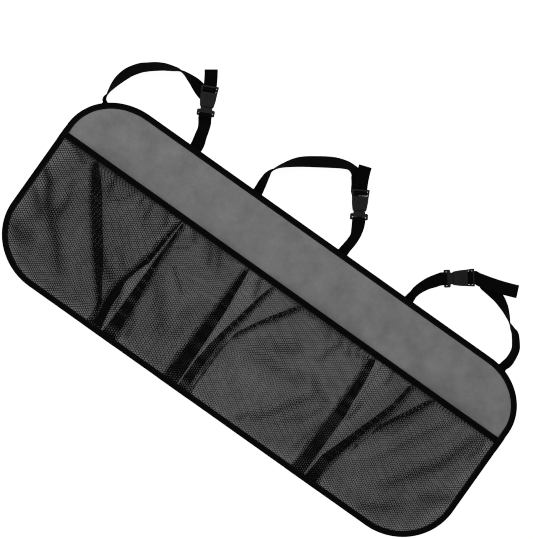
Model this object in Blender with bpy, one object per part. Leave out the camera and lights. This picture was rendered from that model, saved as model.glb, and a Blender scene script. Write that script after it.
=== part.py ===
# Trunk organizer: a flat fabric back panel with four net pockets, hung by three buckled web straps.
# It lies face up. +X runs along the mouth of the pockets, +Y towards the straps, +Z out of the panel.
# Lengths are in metres. MM turns a size in millimetres into metres.
import math

import bmesh
import bpy
import numpy as np

MM = 0.001

# Back panel
PANEL_W = 1028.2 * MM
PANEL_H = 398.2 * MM
PANEL_T = 2.4 * MM
MARGIN_W = 9.6 * MM
MARGIN_RISE = 0.9 * MM
AS_MEASURED = PANEL_W / (1028.2 * MM)
CORNER_TOP_LEFT = (118 * MM, 103 * MM)
CORNER_TOP_RIGHT = (110 * MM, 98 * MM)
CORNER_BOTTOM_LEFT = (120 * MM, 112 * MM)
CORNER_BOTTOM_RIGHT = (121 * MM, 117 * MM)

# Binding tape round the panel, and the tape on the mouth of the pockets
TAPE_T = 0.6 * MM
TAPE_LEG = 9.0 * MM
LEG_EASE = 7.0 * MM
MOUTH_TAPE_T = 0.5 * MM
MOUTH_TAPE_W = 11.2 * MM
MOUTH_BELOW_TOP = 116.6 * MM
MOUTH_RAISE = 0.9 * MM
GAP = 0.3 * MM

# Net front
NET_T = 0.6 * MM
NET_INSET = 2.0 * MM
FOLD_PITCH = 0.9 * MM
CROWN = 15.0 * MM
MOUTH_ARC = 9.0 * MM
CROWN_EDGE = 55 * MM
FOLD_RAMP = 12 * MM
EDGE_STEP = 0.3 * MM

# Webbing
WEB_W = 25.0 * MM
WEB_T = 1.2 * MM
TAB_L = 30 * MM
HEM_L = 10 * MM
TAB_EASE = 9.0 * MM
TAB_OUT = 4.0 * MM
TAB_SPARE = 2.0 * MM
CORNER_SPARE = 9.0 * MM
ARRIVE = 26 * MM
GATHER_L = 15 * MM

# Buckle. Along its own axis, y = 0 is the middle of the prong half's base.
WEB_ROOM = 0.8 * MM
RAIL_W = 3.7 * MM
BAR_T = 4.0 * MM
BAR_RISE = 3.2 * MM
BASE_BAR = 3.6 * MM
BASE_SLOT = 2.6 * MM
BASE_CROSS = 5.8 * MM
WAIST = 4.8 * MM
BODY_L = 29.1 * MM
BODY_H = 10.0 * MM
MOUTH_HALF = 12.4 * MM
INNER_SLOT = 3.0 * MM
MIDDLE_BAR = 3.7 * MM
OUTER_SLOT = 2.4 * MM
END_BAR = 3.3 * MM
PRONG_ROOM = 0.6 * MM

HALF_BUCKLE = WEB_W / 2 + WEB_ROOM + RAIL_W
BASE_L = BASE_BAR + BASE_SLOT + BASE_CROSS
BASE_OUT = -BASE_L / 2
BODY_START = BASE_L / 2 + WAIST
BODY_END = BODY_START + BODY_L
MIDDLE_START = BODY_END + INNER_SLOT
OUTER_START = MIDDLE_START + MIDDLE_BAR
END_START = OUTER_START + OUTER_SLOT
LOCK_END = END_START + END_BAR
LAYER = WEB_T + GAP

# Seams: x where a seam meets the mouth and the bottom.
SEAMS = [(-226 * MM, -231 * MM), (-63 * MM, -54 * MM), (243 * MM, 242 * MM)]

# Pleats: how each one folds, then (share of the way down, x of its left edge, x of its right edge).
PLEATS = [
    ("down", 0.0, [(0.06, -422, -413), (0.25, -394, -376), (0.44, -353, -340), (0.61, -313, -304),
                   (0.77, -272, -268), (0.90, -270, -268), (1.0, -269.5, -268)]),
    ("down", 1.0, [(0.06, -236, -233), (0.35, -248, -241), (0.52, -257, -249), (0.70, -262, -253),
                   (0.85, -259, -243), (1.0, -257, -237)]),
    ("up", 1.0, [(0.06, -222.5, -219.5), (0.35, -224.5, -217), (0.62, -226, -210), (1.0, -227, -204)]),
    ("down", 1.0, [(0.06, -76, -69), (0.35, -77, -63), (0.62, -81, -60), (1.0, -87, -58)]),
    ("up", 1.0, [(0.06, -15, -12), (0.18, -24, -18), (0.35, -33, -26), (0.48, -42, -34),
                 (0.62, -49, -37), (0.75, -51, -35), (1.0, -51, -34)]),
    ("up", 0.0, [(0.06, 48, 55), (0.18, 23, 31), (0.34, -4, 3), (0.44, -20, -15), (0.54, -28, -25),
                 (0.70, -29, -27), (1.0, -28, -26)]),
    ("down", 1.0, [(0.06, 220, 227), (0.20, 221, 234), (0.50, 220, 238), (1.0, 216, 239)]),
    ("up", 1.0, [(0.06, 309, 313), (0.22, 303, 310), (0.36, 293, 301), (0.50, 280, 291),
                 (0.60, 269, 282), (0.80, 250, 267), (1.0, 246, 268)]),
    ("up", 0.0, [(0.06, 357, 362), (0.18, 340, 345), (0.31, 318, 323), (0.41, 305, 309),
                 (0.51, 297, 299), (0.62, 289, 291), (0.80, 276, 278), (1.0, 275, 276.5)]),
]

# Hanging loops. Places are x and the height above the panel's top edge; a route's third number is
# the web's turn about its own line in degrees: 0 lies flat, 90 stands on edge.
LOOPS = {
    "left": {
        "buckle": (-311.2, 66.4, 26.0), "seat": 3.0, "threading": "straight", "tail": (31, -3, 6, 0.3),
        "long_base": -479.3, "long_turn": 1, "long_gather": 0.3,
        "long": [(-484.4, -24.4, 48), (-485.6, -18.6, 84), (-485.2, -10, 93), (-483.6, -1, 100), (-482.2, 9, 109),
                 (-481.2, 20, 122), (-478.9, 34, 138), (-473.8, 48, 144), (-463, 64, 144), (-452, 74, 138),
                 (-440.4, 83.4, 137), (-426.5, 92.2, 129), (-410.8, 99.1, 113), (-393.9, 104.6, 90),
                 (-379.2, 104.6, 64), (-369.0, 102.4, 36), (-359.0, 100.2, 9)],
        "short_base": -288.8, "short_turn": 1, "short_gather": 1.0,
        "short": [(-289.9, 12, 10), (-293.3, 24.8, 26), (-297.2, 39.9, 30), (-302.4, 50.5, 14)],
    },
    "middle": {
        "buckle": (42.3, 74.3, 31.5), "seat": 0.2, "threading": "back", "tail": (44, 5, 15, 0.0),
        "long_base": -143.2, "long_turn": 1, "long_gather": 0.75,
        "long": [(-144.2, 12, 41), (-146.0, 28, 58), (-146.5, 39, 68), (-144.4, 52.4, 90),
                 (-131.2, 71.8, 111), (-109.9, 94.8, 133), (-81.6, 115.2, 137), (-57.5, 130.6, 135),
                 (-37, 139.4, 126), (-27, 142.0, 122), (-19, 143.0, 125), (-11.5, 141.2, 138),
                 (-5, 136.6, 158), (0.2, 130.4, 174)],
        "short_base": 56.7, "short_turn": 1, "short_gather": 0.8,
        "short": [(57, 13.4, 36), (58.2, 26.8, 40), (57.5, 40.2, 38), (53.6, 53, 20)],
    },
    "right": {
        "buckle": (248.0, 75.4, -52.3), "seat": 0.2, "threading": "back", "tail": (80, 34, 24, 1.3),
        "long_base": 432.5, "long_turn": -1, "long_gather": 0.66,
        "long": [(434.9, 11, 50), (435.0, 24.8, 60), (432.4, 39.2, 62), (426.3, 49.8, 64),
                 (414.2, 64.1, 68), (404.8, 69.3, 81), (398.5, 73.4, 90), (388, 80.5, 105),
                 (376.9, 88.5, 117), (366.3, 95, 131), (350, 102.2, 148), (332, 106.6, 166)],
        "short_base": 212.2, "short_turn": 1, "short_gather": 0.72,
        "short": [(212.3, 13, 42), (214.0, 24, 42), (218.4, 36, 36), (224.6, 48, 27), (232.0, 58.6, 14)],
    },
}


def smooth(value):
    """Ease from 0 to 1 as the value goes from 0 to 1."""
    value = np.clip(value, 0.0, 1.0)
    return value * value * (3.0 - 2.0 * value)


def material(name, colour, roughness, metallic=0.0):
    """A Principled BSDF with one colour."""
    made = bpy.data.materials.new(name)
    made.use_nodes = True
    shader = made.node_tree.nodes["Principled BSDF"]
    shader.inputs["Base Color"].default_value = (*colour, 1.0)
    shader.inputs["Roughness"].default_value = roughness
    shader.inputs["Metallic"].default_value = metallic
    made.diffuse_color = (*colour, 1.0)
    return made


def add_object(name, mesh, made, smooth_angle=None):
    """Put a mesh in the scene as one named object, with its faces pointing out."""
    work = bmesh.new()
    work.from_mesh(mesh)
    bmesh.ops.recalc_face_normals(work, faces=work.faces)
    work.to_mesh(mesh)
    work.free()
    obj = bpy.data.objects.new(name, mesh)
    bpy.context.scene.collection.objects.link(obj)
    mesh.materials.append(made)
    if smooth_angle is not None:
        mesh.shade_smooth()
        mesh.set_sharp_from_angle(angle=math.radians(smooth_angle))
    return obj


def grid_faces(rows, columns, wrap_rows=False, wrap_columns=False):
    """Quads between neighbouring points of a grid that is numbered row by row."""
    faces = []
    for row in range(rows if wrap_rows else rows - 1):
        for column in range(columns if wrap_columns else columns - 1):
            right = (column + 1) % columns
            below = (row + 1) % rows
            faces.append((row * columns + column, row * columns + right,
                          below * columns + right, below * columns + column))
    return faces


def mesh_from(name, points, faces):
    """A mesh from an array of points and a list of faces."""
    mesh = bpy.data.meshes.new(name)
    mesh.from_pydata([tuple(map(float, p)) for p in points], [], faces)
    mesh.update()
    return mesh


def corner_arc(centre, radii, start, steps):
    """Points and inward directions along a quarter of an ellipse."""
    angles = np.radians(np.linspace(start, start + 90, steps))
    points = np.stack([centre[0] + radii[0] * np.cos(angles), centre[1] + radii[1] * np.sin(angles)], 1)
    inward = -np.stack([np.cos(angles) / radii[0], np.sin(angles) / radii[1]], 1)
    return points, inward / np.linalg.norm(inward, axis=1, keepdims=True)


def moved(loop):
    """How far a whole loop moves along the top edge when the panel's width changes."""
    return (loop["long_base"] + loop["short_base"]) / 2 * MM * (AS_MEASURED - 1)


def tab_stops():
    """x of every strap's tab on the straight top edge."""
    bases = []
    for loop in LOOPS.values():
        bases += [loop["long_base"] * MM + moved(loop), loop["short_base"] * MM + moved(loop)]
    return bases


def pleat_lumps():
    """Stretches of the bottom edge where the net lies three layers deep."""
    wide = [pleat for pleat in PLEATS if pleat[1] > 0]
    ends = sorted((points[-1][1] * MM * AS_MEASURED, points[-1][2] * MM * AS_MEASURED) for _, _, points in wide)
    lumps = []
    for low, high in ends:
        if lumps and low - lumps[-1][1] < 4 * TAB_EASE:
            lumps[-1][1] = high
        else:
            lumps.append([low, high])
    return [(low - 3 * MM, high + 3 * MM) for low, high in lumps]


def straight_stops(low, high, marks, spacing):
    """Places along a straight edge: the marks, and even ones between them."""
    stops = sorted({low, high, *[m for m in marks if low + MM < m < high - MM]})
    places = []
    for first, last in zip(stops[:-1], stops[1:]):
        count = max(1, round((last - first) / spacing))
        places += list(np.linspace(first, last, count, endpoint=False))
    return np.array(places[1:] if places else [])


def panel_outline():
    """Round the panel's edge, counter-clockwise: points, and directions towards the inside."""
    half_w, half_h = PANEL_W / 2, PANEL_H / 2
    lumps = [edge + side for low, high in pleat_lumps()
             for edge, side in ((low, 0), (low, -TAB_EASE), (high, 0), (high, TAB_EASE))]
    tabs = [base + side * (WEB_W / 2 + TAB_SPARE + ease)
            for base in tab_stops() for side in (-1, 1) for ease in (0, TAB_EASE)]
    mouth = half_h - MOUTH_BELOW_TOP
    sides = [mouth + LEG_EASE + 2 * MM, mouth + 2 * MM, mouth - MOUTH_TAPE_W - LEG_EASE,
             mouth - MOUTH_TAPE_W - 2 * LEG_EASE]
    points, inward = [], []

    def straight(xs, ys, direction):
        for x, y in zip(np.broadcast_to(xs, max(np.size(xs), np.size(ys))),
                        np.broadcast_to(ys, max(np.size(xs), np.size(ys)))):
            points.append((x, y))
            inward.append(direction)

    def arc(centre, radii, start, steps):
        places, towards = corner_arc(centre, radii, start, steps)
        points.extend(map(tuple, places))
        inward.extend(map(tuple, towards))

    bl, br, tr, tl = CORNER_BOTTOM_LEFT, CORNER_BOTTOM_RIGHT, CORNER_TOP_RIGHT, CORNER_TOP_LEFT
    arc((half_w - br[0], -half_h + br[1]), br, -90, 10)
    straight(half_w, straight_stops(-half_h + br[1], half_h - tr[1], sides, 60 * MM), (-1, 0))
    arc((half_w - tr[0], half_h - tr[1]), tr, 0, 12)
    straight(straight_stops(-half_w + tl[0], half_w - tr[0], tabs, 60 * MM)[::-1], half_h, (0, -1))
    arc((-half_w + tl[0], half_h - tl[1]), tl, 90, 16)
    straight(-half_w, straight_stops(-half_h + bl[1], half_h - tl[1], sides, 60 * MM)[::-1], (1, 0))
    arc((-half_w + bl[0], -half_h + bl[1]), bl, 180, 10)
    straight(straight_stops(-half_w + bl[0], half_w - br[0], lumps, 60 * MM), -half_h, (0, 1))
    return np.array(points), np.array(inward)


def edge_distance(x, y, with_top=False):
    """How far a point lies inside the panel's edge, leaving the top edge out unless asked."""
    half_w, half_h = PANEL_W / 2, PANEL_H / 2
    distance = np.minimum(half_w - np.abs(x), half_h + y)
    if with_top:
        distance = np.minimum(distance, half_h - y)
    corners = [(1, -1, CORNER_BOTTOM_RIGHT), (-1, -1, CORNER_BOTTOM_LEFT)]
    if with_top:
        corners += [(1, 1, CORNER_TOP_RIGHT), (-1, 1, CORNER_TOP_LEFT)]
    for side_x, side_y, (radius_x, radius_y) in corners:
        across = (side_x * x - (half_w - radius_x)) / radius_x
        along = (side_y * y - (half_h - radius_y)) / radius_y
        inside = np.hypot(np.maximum(across, 0), np.maximum(along, 0))
        curved = (1 - inside) * min(radius_x, radius_y)
        distance = np.where((across > 0) & (along > 0), curved, distance)
    return distance


def tab_place(base_x):
    """Where a strap's tab crosses the panel's top edge, and the direction straight out from there."""
    half_w, half_h = PANEL_W / 2, PANEL_H / 2
    y, outward = half_h, np.array([0.0, 1.0])
    for side, (radius_x, radius_y) in ((-1, CORNER_TOP_LEFT), (1, CORNER_TOP_RIGHT)):
        past = side * base_x - (half_w - radius_x)
        if past > 0:
            rise = radius_y * math.sqrt(1 - (past / radius_x) ** 2)
            y = half_h - radius_y + rise
            outward = unit(np.array([side * past / radius_x ** 2, rise / radius_y ** 2]))
    return np.array([base_x, y]), outward


def tab_lift(x, y):
    """How far the panel is pushed up over the straps' tabs, which are sewn under its back."""
    lift = np.zeros(np.broadcast(x, y).shape)
    for base in tab_stops():
        place, outward = tab_place(base)
        out = (x - place[0]) * outward[0] + (y - place[1]) * outward[1]
        spare = TAB_SPARE + (CORNER_SPARE if outward[1] < 0.9 else 0.0)
        side = np.abs((x - place[0]) * outward[1] - (y - place[1]) * outward[0]) - (WEB_W / 2 + spare)
        down = -out - TAB_L - spare
        lift = np.maximum(lift, (1 - np.clip(side / TAB_EASE, 0, 1)) * (1 - np.clip(down / TAB_EASE, 0, 1)))
    return lift * LAYER


def margin_lift(edge, inward):
    """Lift of the panel's margin, the same across its width, so that the binding follows it."""
    inner = edge + inward * MARGIN_W
    return np.maximum(tab_lift(edge[:, 0], edge[:, 1]), tab_lift(inner[:, 0], inner[:, 1]))


def mouth_line():
    """y of the net's top edge."""
    return PANEL_H / 2 - MOUTH_BELOW_TOP


def leg_height(x, y):
    """Underside of the binding's upper leg: it clears the net, its pleats and the mouth tape."""
    mouth = mouth_line()
    over_net = smooth((mouth + LEG_EASE + 2 * MM - y) / LEG_EASE)
    over_mouth = over_net * smooth((y - (mouth - MOUTH_TAPE_W - 2 * LEG_EASE)) / LEG_EASE)
    height = PANEL_T + GAP + over_net * (NET_T + GAP) + over_mouth * (MOUTH_RAISE + 2 * MOUTH_TAPE_T + GAP)
    for low, high in pleat_lumps():
        ease = np.minimum((x - (low - TAB_EASE)) / TAB_EASE, ((high + TAB_EASE) - x) / TAB_EASE)
        height = height + np.where(y < 0, np.clip(ease, 0, 1), 0) * 2 * FOLD_PITCH
    return height


def back_panel(made):
    """Two layers of cloth as one closed sheet, thinner on the margin that the binding covers."""
    edge, inward = panel_outline()
    rings_in = [0, MARGIN_W, MARGIN_W + 1.5 * MM, TAB_L + TAB_SPARE, TAB_L + TAB_SPARE + 1.5 * TAB_EASE]
    count = len(edge)
    points, faces = [], []
    for side in ("top", "bottom"):
        for ring, distance in enumerate(rings_in):
            place = edge + inward * distance
            lift = margin_lift(edge, inward) if ring < 2 else tab_lift(place[:, 0], place[:, 1])
            flat = PANEL_T if side == "top" else (MARGIN_RISE if ring < 2 else 0.0)
            points.append(np.column_stack([place, lift + flat]))
    points = np.vstack(points)
    rings = len(rings_in)
    faces += grid_faces(rings, count, wrap_columns=True)
    faces += [tuple(i + rings * count for i in face) for face in grid_faces(rings, count, wrap_columns=True)]
    rim = [(i, (i + 1) % count, rings * count + (i + 1) % count, rings * count + i) for i in range(count)]
    faces += rim
    faces.append(tuple((rings - 1) * count + i for i in range(count)))
    faces.append(tuple((2 * rings - 1) * count + i for i in range(count)))
    return add_object("back_panel", mesh_from("back_panel", points, faces), made)


def edge_binding(made):
    """Tape folded round the panel's edge: a U whose legs lie on both faces."""
    edge, inward = panel_outline()
    lift = margin_lift(edge, inward)
    under = leg_height(edge[:, 0], edge[:, 1]) + lift
    inner_end = edge + inward * TAPE_LEG
    under_in = leg_height(inner_end[:, 0], inner_end[:, 1]) + lift
    wall_in, wall_out = -GAP, -GAP - TAPE_T
    bevel = 0.4 * MM
    section = [
        (TAPE_LEG, lift), (wall_out + bevel, lift), (wall_out, lift + bevel),
        (wall_out, under + TAPE_T - bevel), (wall_out + bevel, under + TAPE_T), (TAPE_LEG, under_in + TAPE_T),
        (TAPE_LEG, under_in), (wall_in, under), (wall_in, lift + TAPE_T), (TAPE_LEG, lift + TAPE_T),
    ]
    rows = [np.column_stack([edge + inward * distance, height]) for distance, height in section]
    points = np.vstack(rows)
    faces = grid_faces(len(section), len(edge), wrap_rows=True, wrap_columns=True)
    return add_object("edge_binding", mesh_from("edge_binding", points, faces), made, 50)


def seam_x(share):
    """x of each seam at a share of the way down the net."""
    return [(top + (bottom - top) * share) * AS_MEASURED for top, bottom in SEAMS]


def net_height(x, y, share):
    """Middle of the net's single layer: arched between the seams, down on the panel at its edges."""
    stops = np.array([-PANEL_W / 2, *seam_x(share), PANEL_W / 2])
    pocket = np.clip(np.searchsorted(stops, x) - 1, 0, len(stops) - 2)
    across = np.clip((x - stops[pocket]) / (stops[pocket + 1] - stops[pocket]), 0, 1)
    arch = np.sin(np.pi * across) ** 2
    belly = MOUTH_ARC + (CROWN - MOUTH_ARC) * smooth(share / 0.35)
    edge = smooth((edge_distance(x, y) - (TAPE_LEG + 2 * MM)) / CROWN_EDGE)
    mouth = mouth_line()
    at_tape = smooth((y - (mouth - MOUTH_TAPE_W - LEG_EASE)) / (0.8 * LEG_EASE))
    return PANEL_T + GAP + NET_T / 2 + MOUTH_RAISE * at_tape + belly * arch * edge


def net_bottom(x):
    """y of the net's lower edge, just inside the panel's edge."""
    half_w, half_h = PANEL_W / 2 - NET_INSET, PANEL_H / 2 - NET_INSET
    y = -half_h
    for side, (radius_x, radius_y) in ((-1, CORNER_BOTTOM_LEFT), (1, CORNER_BOTTOM_RIGHT)):
        past = side * x - (half_w - radius_x)
        if past > 0:
            y = -half_h + radius_y - radius_y * math.sqrt(max(0.0, 1 - (past / radius_x) ** 2))
    return y


def pleat_at(pleat, share):
    """Left edge, right edge and strength of a pleat at a share of the way down."""
    kind, keeps, points = pleat
    shares = [p[0] for p in points]
    left = np.interp(share, shares, [p[1] * MM * AS_MEASURED for p in points])
    right = np.interp(share, shares, [p[2] * MM * AS_MEASURED for p in points])
    strength = min(1.0, max(0.0, (share - 0.049) / 0.03))
    if not keeps:
        strength *= min(1.0, max(0.0, (0.83 - share) / 0.20))
    return left, right, strength


def net_section(share):
    """The net across the panel at one level: x, and how far its face is lifted over its single layer."""
    left_end, right_end = -PANEL_W / 2 + NET_INSET, PANEL_W / 2 - NET_INSET
    places = [pleat_at(pleat, share) for pleat in PLEATS]
    seams = seam_x(share)
    line = []
    start = [(left_end + d * MM, 0.0) for d in (0, 1.5, 6, 14, 28, 46, 66)]
    finish = [(right_end - d * MM, 0.0) for d in (103, 73, 47, 28, 14, 6, 1.5, 0)]
    for index in range(len(PLEATS) + 1):
        before = start if index == 0 else []
        if index:
            left, right, strength = places[index - 1]
            room = (places[index][0] if index < len(PLEATS) else right_end) - right
            ramp = min(FOLD_RAMP, 0.3 * room)
            lift = 2 * FOLD_PITCH * strength
            if PLEATS[index - 1][0] == "up":
                before = [(right + 0.5 * ramp, 0.4 * lift), (right + ramp, 0.0)]
            else:
                before = [(right + EDGE_STEP, 0.0)]
        after = finish
        if index < len(PLEATS):
            left, right, strength = places[index]
            room = left - (places[index - 1][1] if index else left_end)
            ramp = min(FOLD_RAMP, 0.3 * room)
            lift = 2 * FOLD_PITCH * strength
            if PLEATS[index][0] == "up":
                after = [(left - EDGE_STEP, 0.0)]
            else:
                after = [(left - ramp, 0.0), (left - 0.5 * ramp, 0.4 * lift)]
        inner = np.linspace(before[-1][0], after[0][0], NET_COLUMNS[index] + 2)[1:-1]
        for seam in seams:
            if before[-1][0] < seam < after[0][0]:
                inner[np.argmin(np.abs(inner - seam))] = seam
        line += before + [(px, 0.0) for px in inner] + after
        if index < len(PLEATS):
            line += [(left, lift), (right, lift)]
    return line


NET_COLUMNS = [6, 5, 1, 7, 4, 3, 8, 5, 2, 6]
NET_ROWS = [0.0, 0.049, 0.064, 0.079, 0.13, 0.22, 0.32, 0.42, 0.525, 0.63, 0.73, 0.83, 0.91, 0.965, 1.0]


def net_front(made):
    """The net that makes the pockets: one closed sheet, thicker where a pleat is folded down flat."""
    top, lower = [], []
    for share in NET_ROWS:
        line = np.array(net_section(share))
        x, lift = line[:, 0], line[:, 1]
        y = np.array([mouth_line() + (net_bottom(px) - mouth_line()) * share for px in x])
        z = net_height(x, y, share)
        top.append(np.column_stack([x, y, z + NET_T / 2 + lift]))
        lower.append(np.column_stack([x, y, z - NET_T / 2]))
    rows, columns = len(top), len(top[0])
    half = rows * columns
    points = np.vstack(top + lower)
    faces = grid_faces(rows, columns)
    faces += [tuple(i + half for i in face) for face in grid_faces(rows, columns)]
    rim = list(range(columns)) + [r * columns + columns - 1 for r in range(1, rows)]
    rim += [(rows - 1) * columns + c for c in range(columns - 2, -1, -1)]
    rim += [r * columns for r in range(rows - 2, 0, -1)]
    faces += [(a, b, b + half, a + half) for a, b in zip(rim, rim[1:] + rim[:1])]
    return add_object("net_front", mesh_from("net_front", points, faces), made)


def mouth_binding(made):
    """Tape folded over the net's top edge, arched off the panel between the seams."""
    half = PANEL_W / 2 - NET_INSET
    stops = straight_stops(-half, half, seam_x(0.0), 13 * MM)
    x = np.array([-half, *stops, half])
    inner = NET_T / 2 + GAP + 0.1 * MM
    outer = inner + MOUTH_TAPE_T
    top, low = mouth_line(), mouth_line() - MOUTH_TAPE_W
    section = [(low, outer), (top, outer), (top + 0.9 * MM, inner), (top + 0.9 * MM, -inner), (top, -outer),
               (low, -outer), (low, -inner), (top + 0.4 * MM, -inner), (top + 0.4 * MM, inner), (low, inner)]
    span = mouth_line() - net_bottom(0.0)
    rows = []
    for y, offset in section:
        share = max(0.0, (mouth_line() - y) / span)
        height = net_height(x, np.full(len(x), min(y, top)), share)
        rows.append(np.column_stack([x, np.full(len(x), y), height + offset]))
    points = np.vstack(rows)
    faces = grid_faces(len(section), len(x), wrap_rows=True)
    count = len(x)
    for end in (0, count - 1):
        faces.append(tuple(r * count + end for r in range(len(section))))
    return add_object("mouth_binding", mesh_from("mouth_binding", points, faces), made, 50)


def ribbon(name, centres, halves, normals, thicknesses, made):
    """A flat web: at each station its middle, half-width vector, face direction and thickness."""
    centres, halves, normals = np.array(centres), np.array(halves), np.array(normals)
    half_t = np.array(thicknesses)[:, None] / 2
    corners = [centres + halves + normals * half_t, centres - halves + normals * half_t,
               centres - halves - normals * half_t, centres + halves - normals * half_t]
    count = len(centres)
    points = np.vstack(corners)
    faces = grid_faces(4, count, wrap_rows=True)
    faces.append(tuple(r * count for r in range(4)))
    faces.append(tuple(r * count + count - 1 for r in range(4)))
    return add_object(name, mesh_from(name, points, faces), made, 40)


def unit(vectors):
    """Vectors made one long."""
    return vectors / np.linalg.norm(vectors, axis=-1, keepdims=True)


def spline(points, steps):
    """Catmull-Rom curve through the points."""
    points = np.array(points, dtype=float)
    padded = np.vstack([2 * points[0] - points[1], points, 2 * points[-1] - points[-2]])
    curve = []
    for i in range(len(points) - 1):
        p0, p1, p2, p3 = padded[i:i + 4]
        for t in np.linspace(0, 1, steps, endpoint=False):
            curve.append(0.5 * (2 * p1 + (p2 - p0) * t + (2 * p0 - 5 * p1 + 4 * p2 - p3) * t ** 2
                                + (3 * p1 - p0 - 3 * p2 + p3) * t ** 3))
    curve.append(points[-1])
    return np.array(curve)


def rounded(points, radius, steps=3):
    """A polyline with its corners rounded."""
    points = np.array(points, dtype=float)
    path = [points[0]]
    for before, corner, after in zip(points[:-2], points[1:-1], points[2:]):
        reach = min(radius, np.linalg.norm(corner - before) * 0.48, np.linalg.norm(after - corner) * 0.48)
        start = corner + unit(before - corner) * reach
        end = corner + unit(after - corner) * reach
        for t in np.linspace(0, 1, steps + 1):
            path.append((1 - t) ** 2 * start + 2 * t * (1 - t) * corner + t ** 2 * end)
    path.append(points[-1])
    return np.array(path)


class Frame:
    """A buckle's own axes: x across it, y from its prong half to its lock, z up."""

    def __init__(self, loop):
        x, above, angle = loop["buckle"]
        self.origin = np.array([x * MM + moved(loop), PANEL_H / 2 + above * MM, loop["seat"] * MM])
        turn = math.radians(angle)
        self.across = np.array([math.cos(turn), math.sin(turn), 0])
        self.along = np.array([-math.sin(turn), math.cos(turn), 0])
        self.up = np.array([0, 0, 1.0])

    def place(self, x, y, z):
        return self.origin + self.across * x + self.along * y + self.up * z


class Web:
    """The stations of one strap, gathered as it is laid."""

    def __init__(self):
        self.centres, self.halves, self.normals, self.thicknesses = [], [], [], []

    def add(self, centre, half, normal, thickness=WEB_T):
        self.centres.append(np.array(centre))
        self.halves.append(np.array(half))
        self.normals.append(np.array(normal))
        self.thicknesses.append(thickness)

    def lay_tab(self, base_x, gather):
        """Flat under the panel's back, from the tab's end to the panel's edge, where it is gathered."""
        place, outward = tab_place(base_x)
        half = np.array([-outward[1], outward[0], 0]) * WEB_W / 2
        for out, width in ((-TAB_L, 1), (-TAB_L / 2, 1), (-8 * MM, 1), (TAB_OUT, gather)):
            self.add((*(place + outward * out), WEB_T / 2), half * width, (0, 0, 1))
        return (*(place + outward * TAB_OUT), 0.0)

    def lay_free(self, route, turn_sign, arrive, gather, heights=None, steps=4):
        """Along a route of (x, y, turn), its lower edge on the floor, till it lies across `arrive`."""
        curve = spline(route, steps)
        heading = unit(np.gradient(curve[:, :2], axis=0))
        side = np.column_stack([-heading[:, 1], heading[:, 0]])
        travelled = np.concatenate([[0], np.cumsum(np.linalg.norm(np.diff(curve[:, :2], axis=0), axis=1))])
        near = smooth(1 - (travelled[-1] - travelled) / ARRIVE)[:, None]
        side = unit(side * (1 - near) + np.array([-arrive[1], arrive[0]]) * near)
        turn = np.radians(curve[:, 2]) * turn_sign
        lifted = np.interp(np.linspace(0, 1, len(curve)), np.linspace(0, 1, len(heights)), heights) \
            if heights else np.zeros(len(curve))
        wide = WEB_W / 2 * (1 - (1 - gather) * (1 - smooth(travelled / GATHER_L)))
        height = wide * np.abs(np.sin(turn)) + WEB_T / 2 * np.abs(np.cos(turn)) + lifted
        for i in range(1, len(curve) - 1):
            across = np.array([*(side[i] * math.cos(turn[i])), math.sin(turn[i])])
            forward = np.array([*heading[i], 0.0])
            self.add((*curve[i, :2], height[i]), across * wide[i], unit(np.cross(forward, across)))

    def lay_local(self, frame, path, across_sign, radius=1.0 * MM):
        """Through a buckle, along a path of (y, z) in the buckle's own frame."""
        path = rounded(path, radius)
        forward = unit(np.gradient(path, axis=0))
        for (y, z), (ty, tz) in zip(path, forward):
            across = frame.across * across_sign
            travel = frame.along * ty + frame.up * tz
            self.add(frame.place(0, y, z), across * WEB_W / 2, unit(np.cross(travel, across)))

    def lay_tail(self, frame, start_z, tail, across_sign):
        """The free end past the lock: a slow curve that rises a little, with a folded hem."""
        length, drift, rise = (value * MM for value in tail[:3])
        early = tail[3]
        for share in np.linspace(0.14, 1, 10):
            bend = share * early + share ** 2 * (1 - early)
            slope = early + 2 * share * (1 - early)
            place = frame.place(drift * bend, LOCK_END + length * share, start_z + rise * share)
            travel = unit(frame.across * drift * slope + frame.along * length + frame.up * rise)
            across = unit(np.cross(frame.up, travel)) * -across_sign
            hem = length * (1 - share) < HEM_L
            normal = unit(np.cross(travel, across))
            self.add(place, across * WEB_W / 2, normal, 2 * WEB_T if hem else WEB_T)


def diagonal_fold(web, frame, incoming, turn_y, low_z):
    """Fold a flat strap that comes in from the side, so that it goes on along the buckle's axis."""
    heading = unit(np.array(incoming))
    along = np.array([0.0, 1.0])
    crease = unit(heading + along)
    width = np.array([-heading[1], heading[0]])
    width_after = 2 * width.dot(crease) * crease - width
    skew = heading.dot(crease) / width.dot(crease)
    past = unit(heading - heading.dot(crease) * crease)

    def station(place, half, z, normal):
        world_half = frame.across * half[0] + frame.along * half[1]
        web.add(frame.place(place[0], place[1], z - frame.origin[2]), world_half * WEB_W / 2, normal)

    corner = np.array([0.0, turn_y])
    for back, share in ((15 * MM, 0.0), (10 * MM, 0.3), (5 * MM, 0.65), (0.6 * MM, 1.0)):
        station(corner - heading * back, width + skew * share * heading, low_z, (0, 0, 1))
    radius = LAYER / 2
    for angle in np.radians([30, 60, 90, 120, 150]):
        bulge = corner + past * radius * math.sin(angle)
        facing = -(frame.across * past[0] + frame.along * past[1]) * math.sin(angle)
        facing = facing + frame.up * math.cos(angle)
        station(bulge, width + skew * heading, low_z + radius * (1 - math.cos(angle)), unit(facing))
    for ahead, share in ((0.6 * MM, 1.0), (4.5 * MM, 0.5), (9 * MM, 0.0)):
        station(corner + along * ahead, width_after + skew * share * along, low_z + LAYER, (0, 0, -1))


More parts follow.
